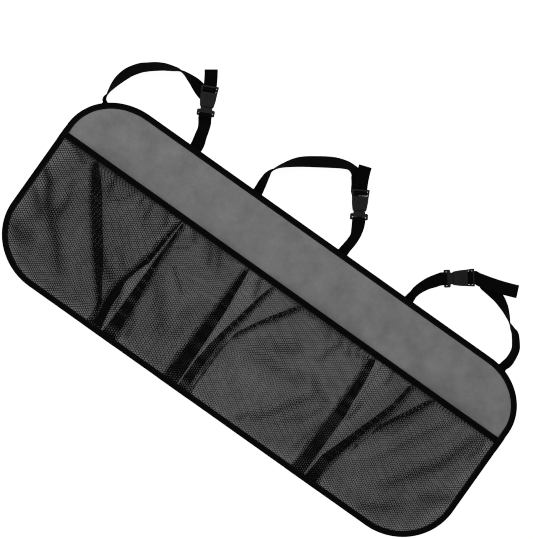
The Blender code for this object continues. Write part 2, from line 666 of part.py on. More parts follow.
def long_strap(side, loop, made):
    """Sewn under the panel, out round the loop, through the lock and out as a free tail."""
    frame = Frame(loop)
    web = Web()
    top = PANEL_H / 2
    route = [web.lay_tab(loop["long_base"] * MM + moved(loop), loop["long_gather"])]
    route += [(x * MM + moved(loop), top + y * MM, turn) for x, y, turn in loop["long"]]
    bar_top = BAR_RISE + BAR_T + GAP + WEB_T / 2
    under = BAR_RISE - GAP - WEB_T / 2
    slot = (OUTER_START + END_START) / 2
    if loop["threading"] == "straight":
        turn_y = BODY_END - 11 * MM
        entry = frame.place(-0.791 * 15 * MM, turn_y + 0.612 * 15 * MM, 0)
        route.append((entry[0], entry[1], 0.0))
        web.lay_free(route, loop["long_turn"], frame.across * 0.791 - frame.along * 0.612, loop["long_gather"])
        diagonal_fold(web, frame, (0.791, -0.612), turn_y, WEB_T / 2)
        low = WEB_T / 2 + LAYER - frame.origin[2]
        middle = MIDDLE_START - GAP - WEB_T / 2
        web.lay_local(frame, [(BODY_END, low), (middle, low), (middle, bar_top), (slot, bar_top),
                              (slot, under), (LOCK_END, under)], 1)
        web.lay_tail(frame, under, loop["tail"], 1)
    else:
        low = under - LAYER
        entry = frame.place(0, LOCK_END + 6 * MM, 0)
        route.append((entry[0], entry[1], 180.0))
        web.lay_free(route, loop["long_turn"], -frame.along, loop["long_gather"], heights=[0, 0, 0, 0, low + loop["seat"] * MM - WEB_T / 2])
        climb = MIDDLE_START - GAP - WEB_T / 2
        down = OUTER_START + GAP + WEB_T / 2
        web.lay_local(frame, [(LOCK_END + 5 * MM, low), (climb, low), (climb, bar_top), (down, bar_top),
                              (down, under), (LOCK_END, under)], -1)
        web.lay_tail(frame, under, loop["tail"], -1)
    return ribbon("long_strap_" + side, web.centres, web.halves, web.normals, web.thicknesses, made)


def short_strap(side, loop, made):
    """Sewn under the panel, and looped round the bar of the buckle's prong half."""
    frame = Frame(loop)
    web = Web()
    top = PANEL_H / 2
    route = [web.lay_tab(loop["short_base"] * MM + moved(loop), loop["short_gather"])]
    route += [(x * MM + moved(loop), top + y * MM, turn) for x, y, turn in loop["short"]]
    over = BAR_RISE + BAR_T + GAP + WEB_T / 2
    under = BAR_RISE - GAP - WEB_T / 2
    outside = BASE_OUT - 1.0 * MM
    entry = frame.place(0, outside - 5 * MM, 0)
    route.append((entry[0], entry[1], 0.0))
    lifts = [0, 0, 0, 0, 0.4 * (over + loop["seat"] * MM)]
    web.lay_free(route, loop["short_turn"], frame.along, loop["short_gather"], heights=lifts)
    slot = BASE_OUT + BASE_BAR + BASE_SLOT / 2
    web.lay_local(frame, [(outside - 3 * MM, over - 2.2 * MM), (outside + 1 * MM, over), (slot, over),
                          (slot, under), (outside - 2 * MM, under), (outside - 5 * MM, under - 0.8 * MM)], -1)
    return ribbon("short_strap_" + side, web.centres, web.halves, web.normals, web.thicknesses, made)


def outline_solid(name, outline, low, high, made, bevel=0.0):
    """A closed solid over a flat outline, from one height to another, with eased edges."""
    outline = np.array(outline)
    count = len(outline)
    towards = unit(np.roll(outline, -1, axis=0) - np.roll(outline, 1, axis=0))
    inward = np.column_stack([-towards[:, 1], towards[:, 0]])
    levels = [(low, bevel), (low + bevel, 0), (high - bevel, 0), (high, bevel)] if bevel else [(low, 0), (high, 0)]
    points = np.vstack([np.column_stack([outline + inward * ease, np.full(count, z)]) for z, ease in levels])
    faces = grid_faces(len(levels), count, wrap_columns=True)
    faces.append(tuple(range(count)))
    faces.append(tuple((len(levels) - 1) * count + i for i in range(count)))
    return add_object(name, mesh_from(name, points, faces), made)


def mirrored(half):
    """A closed counter-clockwise outline from its right half, listed upwards."""
    half = list(half)
    return half + [(-x, y) for x, y in reversed(half) if abs(x) > 1e-9]


def rounded_outline(points, radius, steps=3):
    """A closed outline with every corner rounded."""
    points = [np.array(p, dtype=float) for p in points]
    path = []
    for before, corner, after in zip(points[-1:] + points[:-1], points, points[1:] + points[:1]):
        reach = min(radius, np.linalg.norm(corner - before) * 0.45, np.linalg.norm(after - corner) * 0.45)
        start = corner + unit(before - corner) * reach
        end = corner + unit(after - corner) * reach
        for t in np.linspace(0, 1, steps + 1):
            path.append((1 - t) ** 2 * start + 2 * t * (1 - t) * corner + t ** 2 * end)
    return path


def stand_in_frame(obj, frame):
    """Put a buckle piece that was made about its own axes in its place."""
    turn = math.atan2(frame.across[1], frame.across[0])
    obj.location = frame.origin
    obj.rotation_euler = (0, 0, turn)


def cut(obj, cutter, operation="DIFFERENCE"):
    """A Boolean that stays on the object; the cutter is only a guide."""
    modifier = obj.modifiers.new(cutter.name, "BOOLEAN")
    modifier.operation = operation
    modifier.solver = "EXACT"
    modifier.object = cutter
    cutter.hide_render = True
    cutter.display_type = "WIRE"


def socket_half(side, loop, made):
    """The socket with its side windows, in one piece with the two-slot lock for the long strap."""
    frame = Frame(loop)
    name = "buckle_socket_" + side
    shoulder = HALF_BUCKLE - 1.2 * MM
    body = [(MOUTH_HALF, BODY_START), (MOUTH_HALF + 1.0 * MM, BODY_START + 4 * MM),
            (MOUTH_HALF + 2.6 * MM, BODY_START + 0.5 * BODY_L), (shoulder, BODY_END - 2.5 * MM),
            (shoulder, BODY_END)]
    obj = outline_solid(name, rounded_outline(mirrored(body), 1.6 * MM), 0, BODY_H, made, 1.5 * MM)
    plate = [(shoulder - 0.2 * MM, BODY_END - 5 * MM), (HALF_BUCKLE, END_START), (HALF_BUCKLE, LOCK_END)]
    lock = outline_solid(name + "_lock", rounded_outline(mirrored(plate), 1.4 * MM), BAR_RISE,
                         BAR_RISE + BAR_T, made, 0.5 * MM)
    slot_half = WEB_W / 2 + WEB_ROOM
    slots = []
    for tag, low, high in (("inner", BODY_END, MIDDLE_START), ("outer", OUTER_START, END_START)):
        box = [(slot_half, low), (slot_half, high)]
        slots.append(outline_solid(name + "_" + tag, rounded_outline(mirrored(box), 0.5 * MM),
                                   BAR_RISE - 2 * MM, BAR_RISE + BAR_T + 2 * MM, made))
    room = BAR_RISE - 1.0 * MM
    hollow_half = MOUTH_HALF - 2.2 * MM
    hollow = [(hollow_half, BODY_START - 2 * MM), (hollow_half, BODY_END - 4 * MM)]
    socket = outline_solid(name + "_hollow", mirrored(hollow), room, BAR_RISE + BAR_T + 1.0 * MM, made)
    window = [(HALF_BUCKLE + 3 * MM, BODY_START + 6.5 * MM), (HALF_BUCKLE + 3 * MM, BODY_START + 20 * MM)]
    windows = outline_solid(name + "_windows", mirrored(window), room + 0.2 * MM,
                            BAR_RISE + BAR_T + 0.8 * MM, made)
    cut(obj, lock, "UNION")
    for cutter in (*slots, socket, windows):
        cut(obj, cutter)
    for piece in (obj, lock, *slots, socket, windows):
        stand_in_frame(piece, frame)
    return obj


def prong_half(side, loop, made):
    """The base with its slot for the short strap, two springy arms and a guide between them."""
    frame = Frame(loop)
    name = "buckle_prong_" + side
    arm = MOUTH_HALF - 2.2 * MM - PRONG_ROOM
    base_top = BASE_L / 2
    catch = BODY_START + 6.5 * MM + PRONG_ROOM
    tip = BODY_START + 20 * MM - PRONG_ROOM
    pad = MOUTH_HALF + 1.2 * MM
    half = [(HALF_BUCKLE - 1.5 * MM, BASE_OUT), (HALF_BUCKLE, BASE_OUT + 1.5 * MM),
            (HALF_BUCKLE, base_top - 1.5 * MM), (HALF_BUCKLE - 1.5 * MM, base_top),
            (MOUTH_HALF - 1.0 * MM, base_top + 0.4 * MM), (MOUTH_HALF - 1.4 * MM, BODY_START - 0.5 * MM),
            (arm, BODY_START - 0.5 * MM), (arm, catch), (pad, catch + 0.8 * MM), (pad + 0.6 * MM, (catch + tip) / 2), (pad - 0.6 * MM, tip),
            (arm - 2.0 * MM, tip), (arm - 2.4 * MM, catch), (arm - 2.8 * MM, BODY_START + 2.5 * MM),
            (2.6 * MM, BODY_START + 2.5 * MM), (2.6 * MM, tip - 1 * MM), (1.6 * MM, tip)]
    obj = outline_solid(name, mirrored(half), BAR_RISE, BAR_RISE + BAR_T, made, 0.45 * MM)
    slot_half = WEB_W / 2 + WEB_ROOM
    slot = [(slot_half, BASE_OUT + BASE_BAR), (slot_half, BASE_OUT + BASE_BAR + BASE_SLOT)]
    cutter = outline_solid(name + "_slot", mirrored(slot), BAR_RISE - 2 * MM, BAR_RISE + BAR_T + 2 * MM, made)
    cut(obj, cutter)
    for piece in (obj, cutter):
        stand_in_frame(piece, frame)
    return obj


def main():
    for obj in list(bpy.data.objects):
        bpy.data.objects.remove(obj, do_unlink=True)
    cloth = material("grey_cloth", (0.16, 0.16, 0.165), 0.9)
    net = material("black_net", (0.012, 0.012, 0.013), 0.8)
    tape = material("black_tape", (0.008, 0.008, 0.009), 0.85)
    web = material("black_web", (0.007, 0.007, 0.008), 0.8)
    plastic = material("black_plastic", (0.012, 0.012, 0.012), 0.4)
    back_panel(cloth)
    edge_binding(tape)
    net_front(net)
    mouth_binding(tape)
    for side, loop in LOOPS.items():
        long_strap(side, loop, web)
        short_strap(side, loop, web)
        socket_half(side, loop, plastic)
        prong_half(side, loop, plastic)


main()
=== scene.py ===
import math

import bmesh
import bpy
import numpy as np
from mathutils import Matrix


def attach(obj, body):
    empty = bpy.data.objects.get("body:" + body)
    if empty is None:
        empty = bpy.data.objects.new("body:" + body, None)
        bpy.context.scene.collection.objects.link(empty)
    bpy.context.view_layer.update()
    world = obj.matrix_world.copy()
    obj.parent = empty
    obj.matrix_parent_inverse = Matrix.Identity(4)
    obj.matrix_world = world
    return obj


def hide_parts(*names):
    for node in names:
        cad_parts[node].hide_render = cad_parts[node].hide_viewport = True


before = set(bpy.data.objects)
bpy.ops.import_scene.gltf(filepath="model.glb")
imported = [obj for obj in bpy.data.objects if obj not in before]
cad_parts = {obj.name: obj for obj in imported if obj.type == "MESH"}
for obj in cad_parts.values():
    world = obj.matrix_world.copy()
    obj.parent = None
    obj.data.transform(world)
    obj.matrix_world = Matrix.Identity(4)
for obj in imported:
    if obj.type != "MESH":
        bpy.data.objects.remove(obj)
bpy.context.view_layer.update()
sceneData = bpy.context.scene
mm = 0.001


def metres(table):
    # the same table, with its millimetres turned into metres
    if isinstance(table, dict):
        return {key: metres(value) for key, value in table.items()}
    if isinstance(table, (list, tuple)):
        return type(table)(metres(value) for value in table)
    return table * mm


# The photograph looks straight down on the organizer, which lies turned on a white floor.
view = {"aim": (-0.0435, 0.0890), "turn": 35.37, "height": 1.032, "lens": 100.0, "sensor": 36.0, "far": 20}

camera = bpy.data.objects.new("camera", bpy.data.cameras.new("camera"))
sceneData.collection.objects.link(camera)
camera.data.lens = view["lens"]
camera.data.sensor_fit = "VERTICAL"
camera.data.sensor_height = view["sensor"]
camera.data.clip_end = view["far"]
camera.location = (*view["aim"], view["height"] * view["lens"] / view["sensor"])
camera.rotation_euler = (0, 0, math.radians(view["turn"]))
sceneData.camera = camera
sceneData.view_settings.view_transform = "Standard"
sceneData.cycles.filter_width = 1.0
print("camera set")


# Plain tools

def ease(value):
    # 3t^2 - 2t^3, held at 0 and 1 outside
    value = np.clip(value, 0.0, 1.0)
    return value * value * (3 - 2 * value)


def unit(vectors):
    return vectors / np.linalg.norm(vectors, axis=-1, keepdims=True)


def travelled(points):
    return np.concatenate([[0], np.cumsum(np.linalg.norm(np.diff(points, axis=0), axis=1))])


def alongPath(path, run, places):
    # the points at given distances along a path
    return np.stack([np.interp(places, run, column) for column in path.T], 1)


def ripple(along, seed, length):
    # a sum of four sines of uneven lengths, from -1 to 1, for hand-sewn unevenness
    phase = np.array([0.3, 1.7, 3.1, 4.9]) * seed
    waves = length * np.array([1.0, 0.62, 1.71, 2.9])
    return sum(np.sin(2 * np.pi * along / w + p) * a for w, p, a in zip(waves, phase, (0.4, 0.2, 0.25, 0.15)))


def curveThrough(points, steps):
    # Catmull-Rom: each stretch is a cubic whose slopes come from the neighbouring points
    p = np.array(points, float)
    p = np.vstack([2 * p[0] - p[1], p, 2 * p[-1] - p[-2]])
    t = np.linspace(0, 1, steps, endpoint=False)[None, :, None]
    p0, p1, p2, p3 = (p[k:len(p) - 3 + k, None] for k in range(4))
    curve = 0.5 * (2 * p1 + (p2 - p0) * t + (2 * p0 - 5 * p1 + 4 * p2 - p3) * t ** 2
                   + (3 * p1 - p0 - 3 * p2 + p3) * t ** 3)
    return np.vstack([curve.reshape(-1, p.shape[1]), p[-2]])


def gridFaces(rows, columns, wrapRows=False, wrapColumns=False):
    # quad corners as indices r*columns + c, all at once
    r, c = np.meshgrid(np.arange(rows if wrapRows else rows - 1), np.arange(columns if wrapColumns else columns - 1),
                       indexing="ij")
    r, c = r.ravel(), c.ravel()
    r2, c2 = (r + 1) % rows, (c + 1) % columns
    return np.stack([r * columns + c, r * columns + c2, r2 * columns + c2, r2 * columns + c], 1)


def endCaps(rows, columns):
    # the first and the last column of a grid whose rows close on themselves
    return [tuple(range(start, rows * columns, columns)) for start in (0, columns - 1)]


def makePiece(name, points, faces, uv=None, extraFaces=(), smoothAngle=60, recalc=True):
    mesh = bpy.data.meshes.new(name)
    mesh.from_pydata(np.asarray(points).tolist(), [], np.asarray(faces).tolist() + [list(f) for f in extraFaces])
    if uv is not None:
        layer = mesh.uv_layers.new(name="alongAcross")
        corner = np.empty(len(mesh.loops), dtype=np.int32)
        mesh.loops.foreach_get("vertex_index", corner)
        layer.data.foreach_set("uv", np.asarray(uv, dtype=np.float32)[corner].ravel())
    if recalc:
        work = bmesh.new()
        work.from_mesh(mesh)
        bmesh.ops.recalc_face_normals(work, faces=work.faces)
        work.to_mesh(mesh)
        work.free()
    mesh.shade_smooth()
    if smoothAngle < 180:
        mesh.set_sharp_from_angle(angle=math.radians(smoothAngle))
    piece = bpy.data.objects.new(name, mesh)
    sceneData.collection.objects.link(piece)
    return piece


def makeTape(name, rows, along, closed, extraFaces=()):
    # rows run along the tape; the map is in metres along it and, from row to row, across it
    widths = [np.linalg.norm(second - first, axis=1).mean() for first, second in zip(rows[:-1], rows[1:])]
    uv = [np.column_stack([along, np.full(len(along), across)]) for across in np.cumsum([0.0, *widths])]
    faces = gridFaces(len(rows), len(along), True, closed)
    return makePiece(name, np.vstack(rows), faces, np.vstack(uv), extraFaces, 50)


def dress(piece, finish, slot, *nodes):
    piece.data.materials.clear()
    piece.data.materials.append(finish)
    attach(piece, "root")
    if nodes:
        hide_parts(*nodes)
    return piece


# Finishes

class Socket:
    # wraps an output socket, so that maths on it adds Math nodes
    def __init__(self, tree, out):
        self.tree, self.out = tree, out

    def maths(self, operation, *values):
        node = self.tree.nodes.new("ShaderNodeMath")
        node.operation = operation
        for place, value in zip(node.inputs, values):
            feed(self.tree, place, value)
        return Socket(self.tree, node.outputs[0])

    def __add__(self, other): return self.maths("ADD", self, other)
    def __radd__(self, other): return self.maths("ADD", other, self)
    def __sub__(self, other): return self.maths("SUBTRACT", self, other)
    def __mul__(self, other): return self.maths("MULTIPLY", self, other)
    def __truediv__(self, other): return self.maths("DIVIDE", self, other)
    def size(self): return self.maths("ABSOLUTE", self)
    def part(self): return self.maths("FRACT", self)
    def kept(self): return self.maths("MINIMUM", self.maths("MAXIMUM", self, 0.0), 1.0)


def feed(tree, place, value):
    # an input takes a link or a plain value
    if isinstance(value, Socket):
        tree.links.new(value.out, place)
    else:
        place.default_value = value


class Finish:
    # one material; node() takes a node's type, its settings, and its inputs' values or links
    def __init__(self, name, **constants):
        self.material = bpy.data.materials.new(name)
        self.material.use_nodes = True
        self.tree = self.material.node_tree
        self.shader = self.tree.nodes["Principled BSDF"]
        for label, value in constants.items():
            self.shader.inputs[label.replace("_", " ")].default_value = value

    def node(self, kind, settings=None, output=0, **inputs):
        node = self.tree.nodes.new(kind)
        for label, value in (settings or {}).items():
            setattr(node, label, value)
        for label, value in inputs.items():
            feed(self.tree, node.inputs[int(label[1:]) if label[0] == "_" else label], value)
        return Socket(self.tree, node.outputs[output])

    def noise(self, scale, detail, rough, stretch=None):
        # set by the object's own coordinates, the fourth output
        source = self.node("ShaderNodeTexCoord", output=3)
        if stretch:
            source = self.node("ShaderNodeMapping", Vector=source, Scale=stretch)
        return self.node("ShaderNodeTexNoise", Vector=source, Scale=scale, Detail=detail, Roughness=rough)

    def along(self):
        # metres along and across a woven piece, from its own map
        split = self.tree.nodes.new("ShaderNodeSeparateXYZ")
        feed(self.tree, split.inputs[0], self.node("ShaderNodeUVMap", {"uv_map": "alongAcross"}))
        return Socket(self.tree, split.outputs[0]), Socket(self.tree, split.outputs[1])

    def finish(self, amount, look, bump, strength, distance, roughness=None):
        # the colour goes from dark to light with the amount
        colour = self.node("ShaderNodeMix", {"data_type": "RGBA"}, output=2, _0=amount,
                           _6=(*look["dark"], 1.0), _7=(*look["light"], 1.0))
        normal = self.node("ShaderNodeBump", Height=bump, Strength=strength, Distance=distance)
        for label, value in (("Base Color", colour), ("Roughness", roughness), ("Normal", normal)):
            if value is not None:
                feed(self.tree, self.shader.inputs[label], value)
        return self.material


# Noises are scale, detail and roughness.
feltLook = {"dark": (0.100, 0.100, 0.100), "light": (0.240, 0.240, 0.239), "flecks": (1500, 4.0, 0.75),
            "fibres": (430, 3.0, 0.65), "stretch": (1.0, 2.6, 1.0), "blotches": (26, 4.0, 0.62), "contrast": 2.6}
netLook = {"dark": (0.0008, 0.0008, 0.0008), "light": (0.0040, 0.0040, 0.0042), "yarn": (1900, 2.0, 0.6),
           "patch": (26, 2.0, 0.5)}
webLook = {"dark": (0.0005, 0.0005, 0.0005), "light": (0.0030, 0.0030, 0.0031), "wear": (90, 3.0, 0.6),
           **metres({"yarn": 1.25, "wale": 2.2, "row": 0.55})}
plasticLook = {"dark": (0.0028, 0.0028, 0.0030), "light": (0.0062, 0.0062, 0.0065), "grain": (2600, 2.0, 0.5),
               "rubs": (150, 4.0, 0.7)}
threadTwist = (3200, 2.0, 0.6)


def feltFinish():
    # needle felt: fine fibre flecks over soft wide blotches
    made = Finish("greyFelt", Roughness=0.96, Specular_IOR_Level=0.15)
    flecks = made.noise(*feltLook["flecks"])
    fibres = made.noise(*feltLook["fibres"], feltLook["stretch"])
    blotches = made.noise(*feltLook["blotches"])
    tone = (flecks * 0.34 + fibres * 0.30 + blotches * 0.36 - 0.5) * feltLook["contrast"] + 0.5
    return made.finish(tone.kept(), feltLook, flecks * 0.6 + fibres * 0.8, 0.55, 0.5 * mm)


def netFinish():
    # knitted yarn: small stitches along each thread
    made = Finish("blackNet", Roughness=0.6, Specular_IOR_Level=0.025)
    yarn, patch = made.noise(*netLook["yarn"]), made.noise(*netLook["patch"])
    return made.finish((yarn * 0.6 + patch * 0.5 - 0.05).kept(), netLook, yarn, 0.5, 0.3 * mm)


def webFinish(name, width):
    # herringbone weave: yarns slope one way, then the other, in strips side by side
    made = Finish(name, Specular_IOR_Level=0.03)
    along, across = made.along()
    strip = ((across / (2 * webLook["wale"])).part() - 0.5).size() * (2 * webLook["wale"])
    rib = (((along + strip * 0.9) / webLook["yarn"]).part() - 0.5).size() * 2.0
    rows = ((across / webLook["row"]).part() - 0.5).size() * 2.0
    edge = ((across - width / 2).size() / (width / 2) - 0.88) * 8.3
    wear = made.noise(*webLook["wear"])
    tone = rib * 0.55 + rows * 0.20 + wear * 0.30 + edge.kept() * 0.18 - 0.12
    return made.finish(tone.kept(), webLook, rib * 0.7 + rows * 0.3, 0.55, 0.4 * mm, 0.70 + wear * 0.2)


def plasticFinish():
    # moulded plastic: fine spark texture with a soft shine
    made = Finish("blackPlastic", Specular_IOR_Level=0.13)
    grain, rubs = made.noise(*plasticLook["grain"]), made.noise(*plasticLook["rubs"])
    return made.finish(rubs, plasticLook, grain, 0.22, 0.2 * mm, 0.36 + rubs * 0.22)


def threadFinish(name, tone):
    made = Finish(name, Roughness=0.7, Specular_IOR_Level=0.15)
    twist = made.noise(*threadTwist)
    return made.finish(twist, {"dark": tuple(0.6 * t for t in tone), "light": tone}, twist, 0.4, 0.2 * mm)


felt, net, plastic = feltFinish(), netFinish(), plasticFinish()
webbing, tape = webFinish("blackWebbing", 25 * mm), webFinish("blackTape", 9 * mm)
blackThread = threadFinish("blackThread", (0.010, 0.010, 0.011))
greyThread = threadFinish("greyThread", (0.075, 0.076, 0.078))
print("finishes made")


# The grey panel

panel = metres({"width": 1028.2, "height": 398.2, "thick": 2.4, "marginWidth": 9.6, "marginRise": 0.9, "thinner": 0.35,
                "topLeft": (118, 103), "topRight": (110, 98), "bottomLeft": (120, 112), "bottomRight": (121, 117),
                "gap": 0.3, "tabLength": 30, "tabEase": 9, "tabSpare": 2, "cornerSpare": 9, "tabOut": 4, "layer": 1.5,
                "webWidth": 25, "webThick": 1.2, "rings": [0, 3, 6, 9, 10.6, 12.6, 16, 22, 32, 46], "step": 5,
                "puckerAt": 12.5, "puckerWide": 5, "puckerHigh": 0.28, "puckerWave": 13})
tabPlaces = metres([-479.3, -288.8, -143.2, 56.7, 432.5, 212.2])
halfWide, halfHigh = panel["width"] / 2, panel["height"] / 2
webHalf, webT, gap, layer = panel["webWidth"] / 2, panel["webThick"], panel["gap"], panel["layer"]


def roundCorners(spacing):
    # the panel's edge: quarter ellipses joined by straight sides, as points and inward directions
    arcs, rows = [], []
    for sideX, sideY, key, start in ((1, -1, "bottomRight", -90), (1, 1, "topRight", 0), (-1, 1, "topLeft", 90),
                                     (-1, -1, "bottomLeft", 180)):
        radius = np.array(panel[key])
        angle = np.radians(np.linspace(start, start + 90, int(round(1.57 * radius.sum() / 2 / spacing))))
        turned = np.column_stack([np.cos(angle), np.sin(angle)])
        middle = np.array([sideX * (halfWide - radius[0]), sideY * (halfHigh - radius[1])])
        arcs.append(np.hstack([middle + radius * turned, -unit(turned / radius)]))
    for arc, following in zip(arcs, arcs[1:] + arcs[:1]):
        start, way = arc[-1, :2], following[0, :2] - arc[-1, :2]
        count = max(2, int(round(np.linalg.norm(way) / spacing)))
        straight = start + way * np.linspace(0, 1, count + 1)[1:-1, None]
        rows += [arc, np.hstack([straight, np.repeat(arc[-1:, 2:], count - 1, axis=0)])]
    return np.hsplit(np.vstack(rows), 2)


def tabPlace(baseX):
    # where a tab crosses the top edge: on the straight side or on the corner's ellipse
    y, outward = halfHigh, np.array([0.0, 1.0])
    for side, key in ((-1, "topLeft"), (1, "topRight")):
        radiusX, radiusY = panel[key]
        past = side * baseX - (halfWide - radiusX)
        if past > 0:
            rise = radiusY * math.sqrt(1 - (past / radiusX) ** 2)
            y = halfHigh - radiusY + rise
            outward = unit(np.array([side * past / radiusX ** 2, rise / radiusY ** 2]))
    return np.array([baseX, y]), outward


def tabLift(x, y):
    # a plateau one web thick over each tab, with sloping sides
    lift = np.zeros(np.broadcast(x, y).shape)
    for base in tabPlaces:
        (placeX, placeY), outward = tabPlace(base)
        out = (x - placeX) * outward[0] + (y - placeY) * outward[1]
        spare = panel["tabSpare"] + (panel["cornerSpare"] if outward[1] < 0.9 else 0.0)
        side = np.abs((x - placeX) * outward[1] - (y - placeY) * outward[0]) - (webHalf + spare)
        past = [np.clip(far / panel["tabEase"], 0, 1) for far in (side, -out - panel["tabLength"] - spare)]
        lift = np.maximum(lift, (1 - past[0]) * (1 - past[1]))
    return lift * layer


def marginLift(edge, inward):
    inner = edge + inward * panel["marginWidth"]
    return np.maximum(tabLift(edge[:, 0], edge[:, 1]), tabLift(inner[:, 0], inner[:, 1]))


def makePanel():
    # rings at set distances inside the edge, on both faces; the middle is one flat face
    edge, inward = roundCorners(panel["step"])
    lift, along = marginLift(edge, inward), travelled(edge)
    rings, count, points = panel["rings"], len(edge), []
    for upper in (True, False):
        for distance in rings:
            place, margin = edge + inward * distance, distance < panel["marginWidth"]
            height = lift if margin else tabLift(place[:, 0], place[:, 1])
            if upper:
                pucker = np.exp(-((distance - panel["puckerAt"]) / panel["puckerWide"]) ** 2) * panel["puckerHigh"]
                pucker = pucker * ripple(along, 2.0, panel["puckerWave"])
                height = height + panel["thick"] + (-panel["thinner"] if margin else pucker)
            elif margin:
                height = height + panel["marginRise"]
            points.append(np.column_stack([place, height]))
    faces, under = gridFaces(len(rings), count, wrapColumns=True), len(rings) * count
    around = np.arange(count)
    ahead = (around + 1) % count
    rim = np.stack([around, ahead, under + ahead, under + around], 1)
    caps = [tuple(under - count + around), tuple(2 * under - count + around)]
    faces = np.vstack([faces, faces + under, rim])
    piece = makePiece("greyPanel", np.vstack(points), faces, extraFaces=caps, smoothAngle=50)
    return dress(piece, felt, "felt", "back_panel")


greyPanel = makePanel()
print("panel made")


# The net: one piece for each pocket, each hole a real hole

pockets = {"seams": metres([(-512.1, -512.1), (-226, -231), (-63, -54), (243, 242), (512.1, 512.1)]),
           "open": (0.775, 0.80, 0.835, 0.805),
           **metres({"mouthBelow": 116.6, "inset": 2, "pitch": 4.84, "column": 3.73, "thread": 0.30, "netThick": 0.6,
                     "tapeRise": 0.9, "tapeWide": 11.2, "tapeLeg": 11, "crown": 15, "mouthArc": 9, "crownEdge": 55,
                     "layer": 0.9, "ramp": 12, "legEase": 7, "weld": 0.02, "grain": 0.05})}
mouthY = halfHigh - pockets["mouthBelow"]
netSpan = mouthY + halfHigh - pockets["inset"]

# Each pleat: how it turns, where it runs out, then (share of the way down, x of its left edge, x of its right edge).
pleats = [
    [("down", 0.93, [(0.04, -432, -425), (0.12, -425, -402), (0.20, -408, -383), (0.30, -389, -362), (0.40, -367, -342),
                     (0.50, -346, -320), (0.60, -323, -303), (0.70, -299, -285), (0.80, -275, -266), (0.90, -262, -258),
                     (1.0, -262, -258)]),
     ("down", 1.1, [(0.04, -230, -228), (0.12, -234, -230), (0.20, -238, -231), (0.30, -240, -232), (0.40, -244, -234),
                    (0.50, -251, -244), (0.60, -259, -250), (0.70, -262, -246), (0.80, -261, -245), (0.88, -257, -241),
                    (1.0, -257, -234)])],
    [("up", 1.1, [(0.04, -225.4, -222), (0.20, -226.5, -220), (0.40, -227.5, -219), (0.50, -228, -215),
                  (0.62, -229, -211),
                  (0.80, -229.5, -207), (1.0, -230.5, -203)]),
     ("down", 1.1, [(0.04, -77, -70), (0.35, -79, -62), (0.62, -83, -59), (1.0, -87, -57)])],
    [("up", 1.1, [(0.04, -16, -11), (0.18, -26, -18), (0.35, -35, -25), (0.48, -43, -33),
                  (0.62, -50, -36), (0.75, -53.5, -36), (0.88, -54, -37), (1.0, -53.5, -34)]),
     ("up", 0.56, [(0.04, 47, 56), (0.12, 33, 44), (0.20, 18, 29), (0.30, 1, 9), (0.44, -20, -14), (0.60, -34, -30),
                   (1.0, -34, -30)]),
     ("down", 1.1, [(0.04, 217, 227), (0.20, 219, 234), (0.50, 219, 241), (1.0, 214.5, 240)])],
    [("up", 1.1, [(0.04, 308, 315), (0.22, 301, 311), (0.36, 289, 301), (0.50, 276, 289),
                  (0.60, 267, 282), (0.80, 248, 269), (1.0, 244, 268)]),
     ("up", 0.52, [(0.04, 356, 364), (0.12, 344, 354), (0.20, 332, 343), (0.30, 317, 326), (0.40, 304, 311),
                   (0.60, 284, 288), (1.0, 284, 288)])],
]


def edgeDistance(x, y):
    # how far inside the sides, the bottom edge and the two bottom corners
    distance = np.minimum(halfWide - np.abs(x), halfHigh + y)
    for side, key in ((1, "bottomRight"), (-1, "bottomLeft")):
        radiusX, radiusY = panel[key]
        across = (side * x - (halfWide - radiusX)) / radiusX
        down = (-y - (halfHigh - radiusY)) / radiusY
        curved = (1 - np.hypot(np.maximum(across, 0), np.maximum(down, 0))) * min(radiusX, radiusY)
        distance = np.where((across > 0) & (down > 0), curved, distance)
    return distance


def netBottom(x):
    # the net's lower edge: straight, and a quarter ellipse at each corner
    wide, high = halfWide - pockets["inset"], halfHigh - pockets["inset"]
    y = np.full(np.shape(x), -high)
    for side, key in ((-1, "bottomLeft"), (1, "bottomRight")):
        radiusX, radiusY = panel[key]
        past = np.clip((side * x - (wide - radiusX)) / radiusX, 0, 1)
        y = np.maximum(y, -high + radiusY - radiusY * np.sqrt(1 - past ** 2))
    return y


def netHeight(x, y):
    # a raised arch between two seams, sin^2 across, that comes down to the panel at its edges
    share = np.clip((mouthY - y) / netSpan, 0, 1)
    stops = np.stack([top + (bottom - top) * share for top, bottom in pockets["seams"]])
    height = np.zeros(np.shape(x))
    for low, high in zip(stops[:-1], stops[1:]):
        height = height + np.sin(np.pi * np.clip((x - low) / (high - low), 0, 1)) ** 2
    belly = pockets["mouthArc"] + (pockets["crown"] - pockets["mouthArc"]) * ease(share / 0.35)
    edge = ease((edgeDistance(x, y) - pockets["tapeLeg"]) / pockets["crownEdge"])
    atTape = ease((y - (mouthY - pockets["tapeWide"] - pockets["legEase"])) / (0.8 * pockets["legEase"]))
    flat = panel["thick"] + gap + pockets["netThick"] / 2 + pockets["tapeRise"] * atTape
    return flat + belly * height * edge


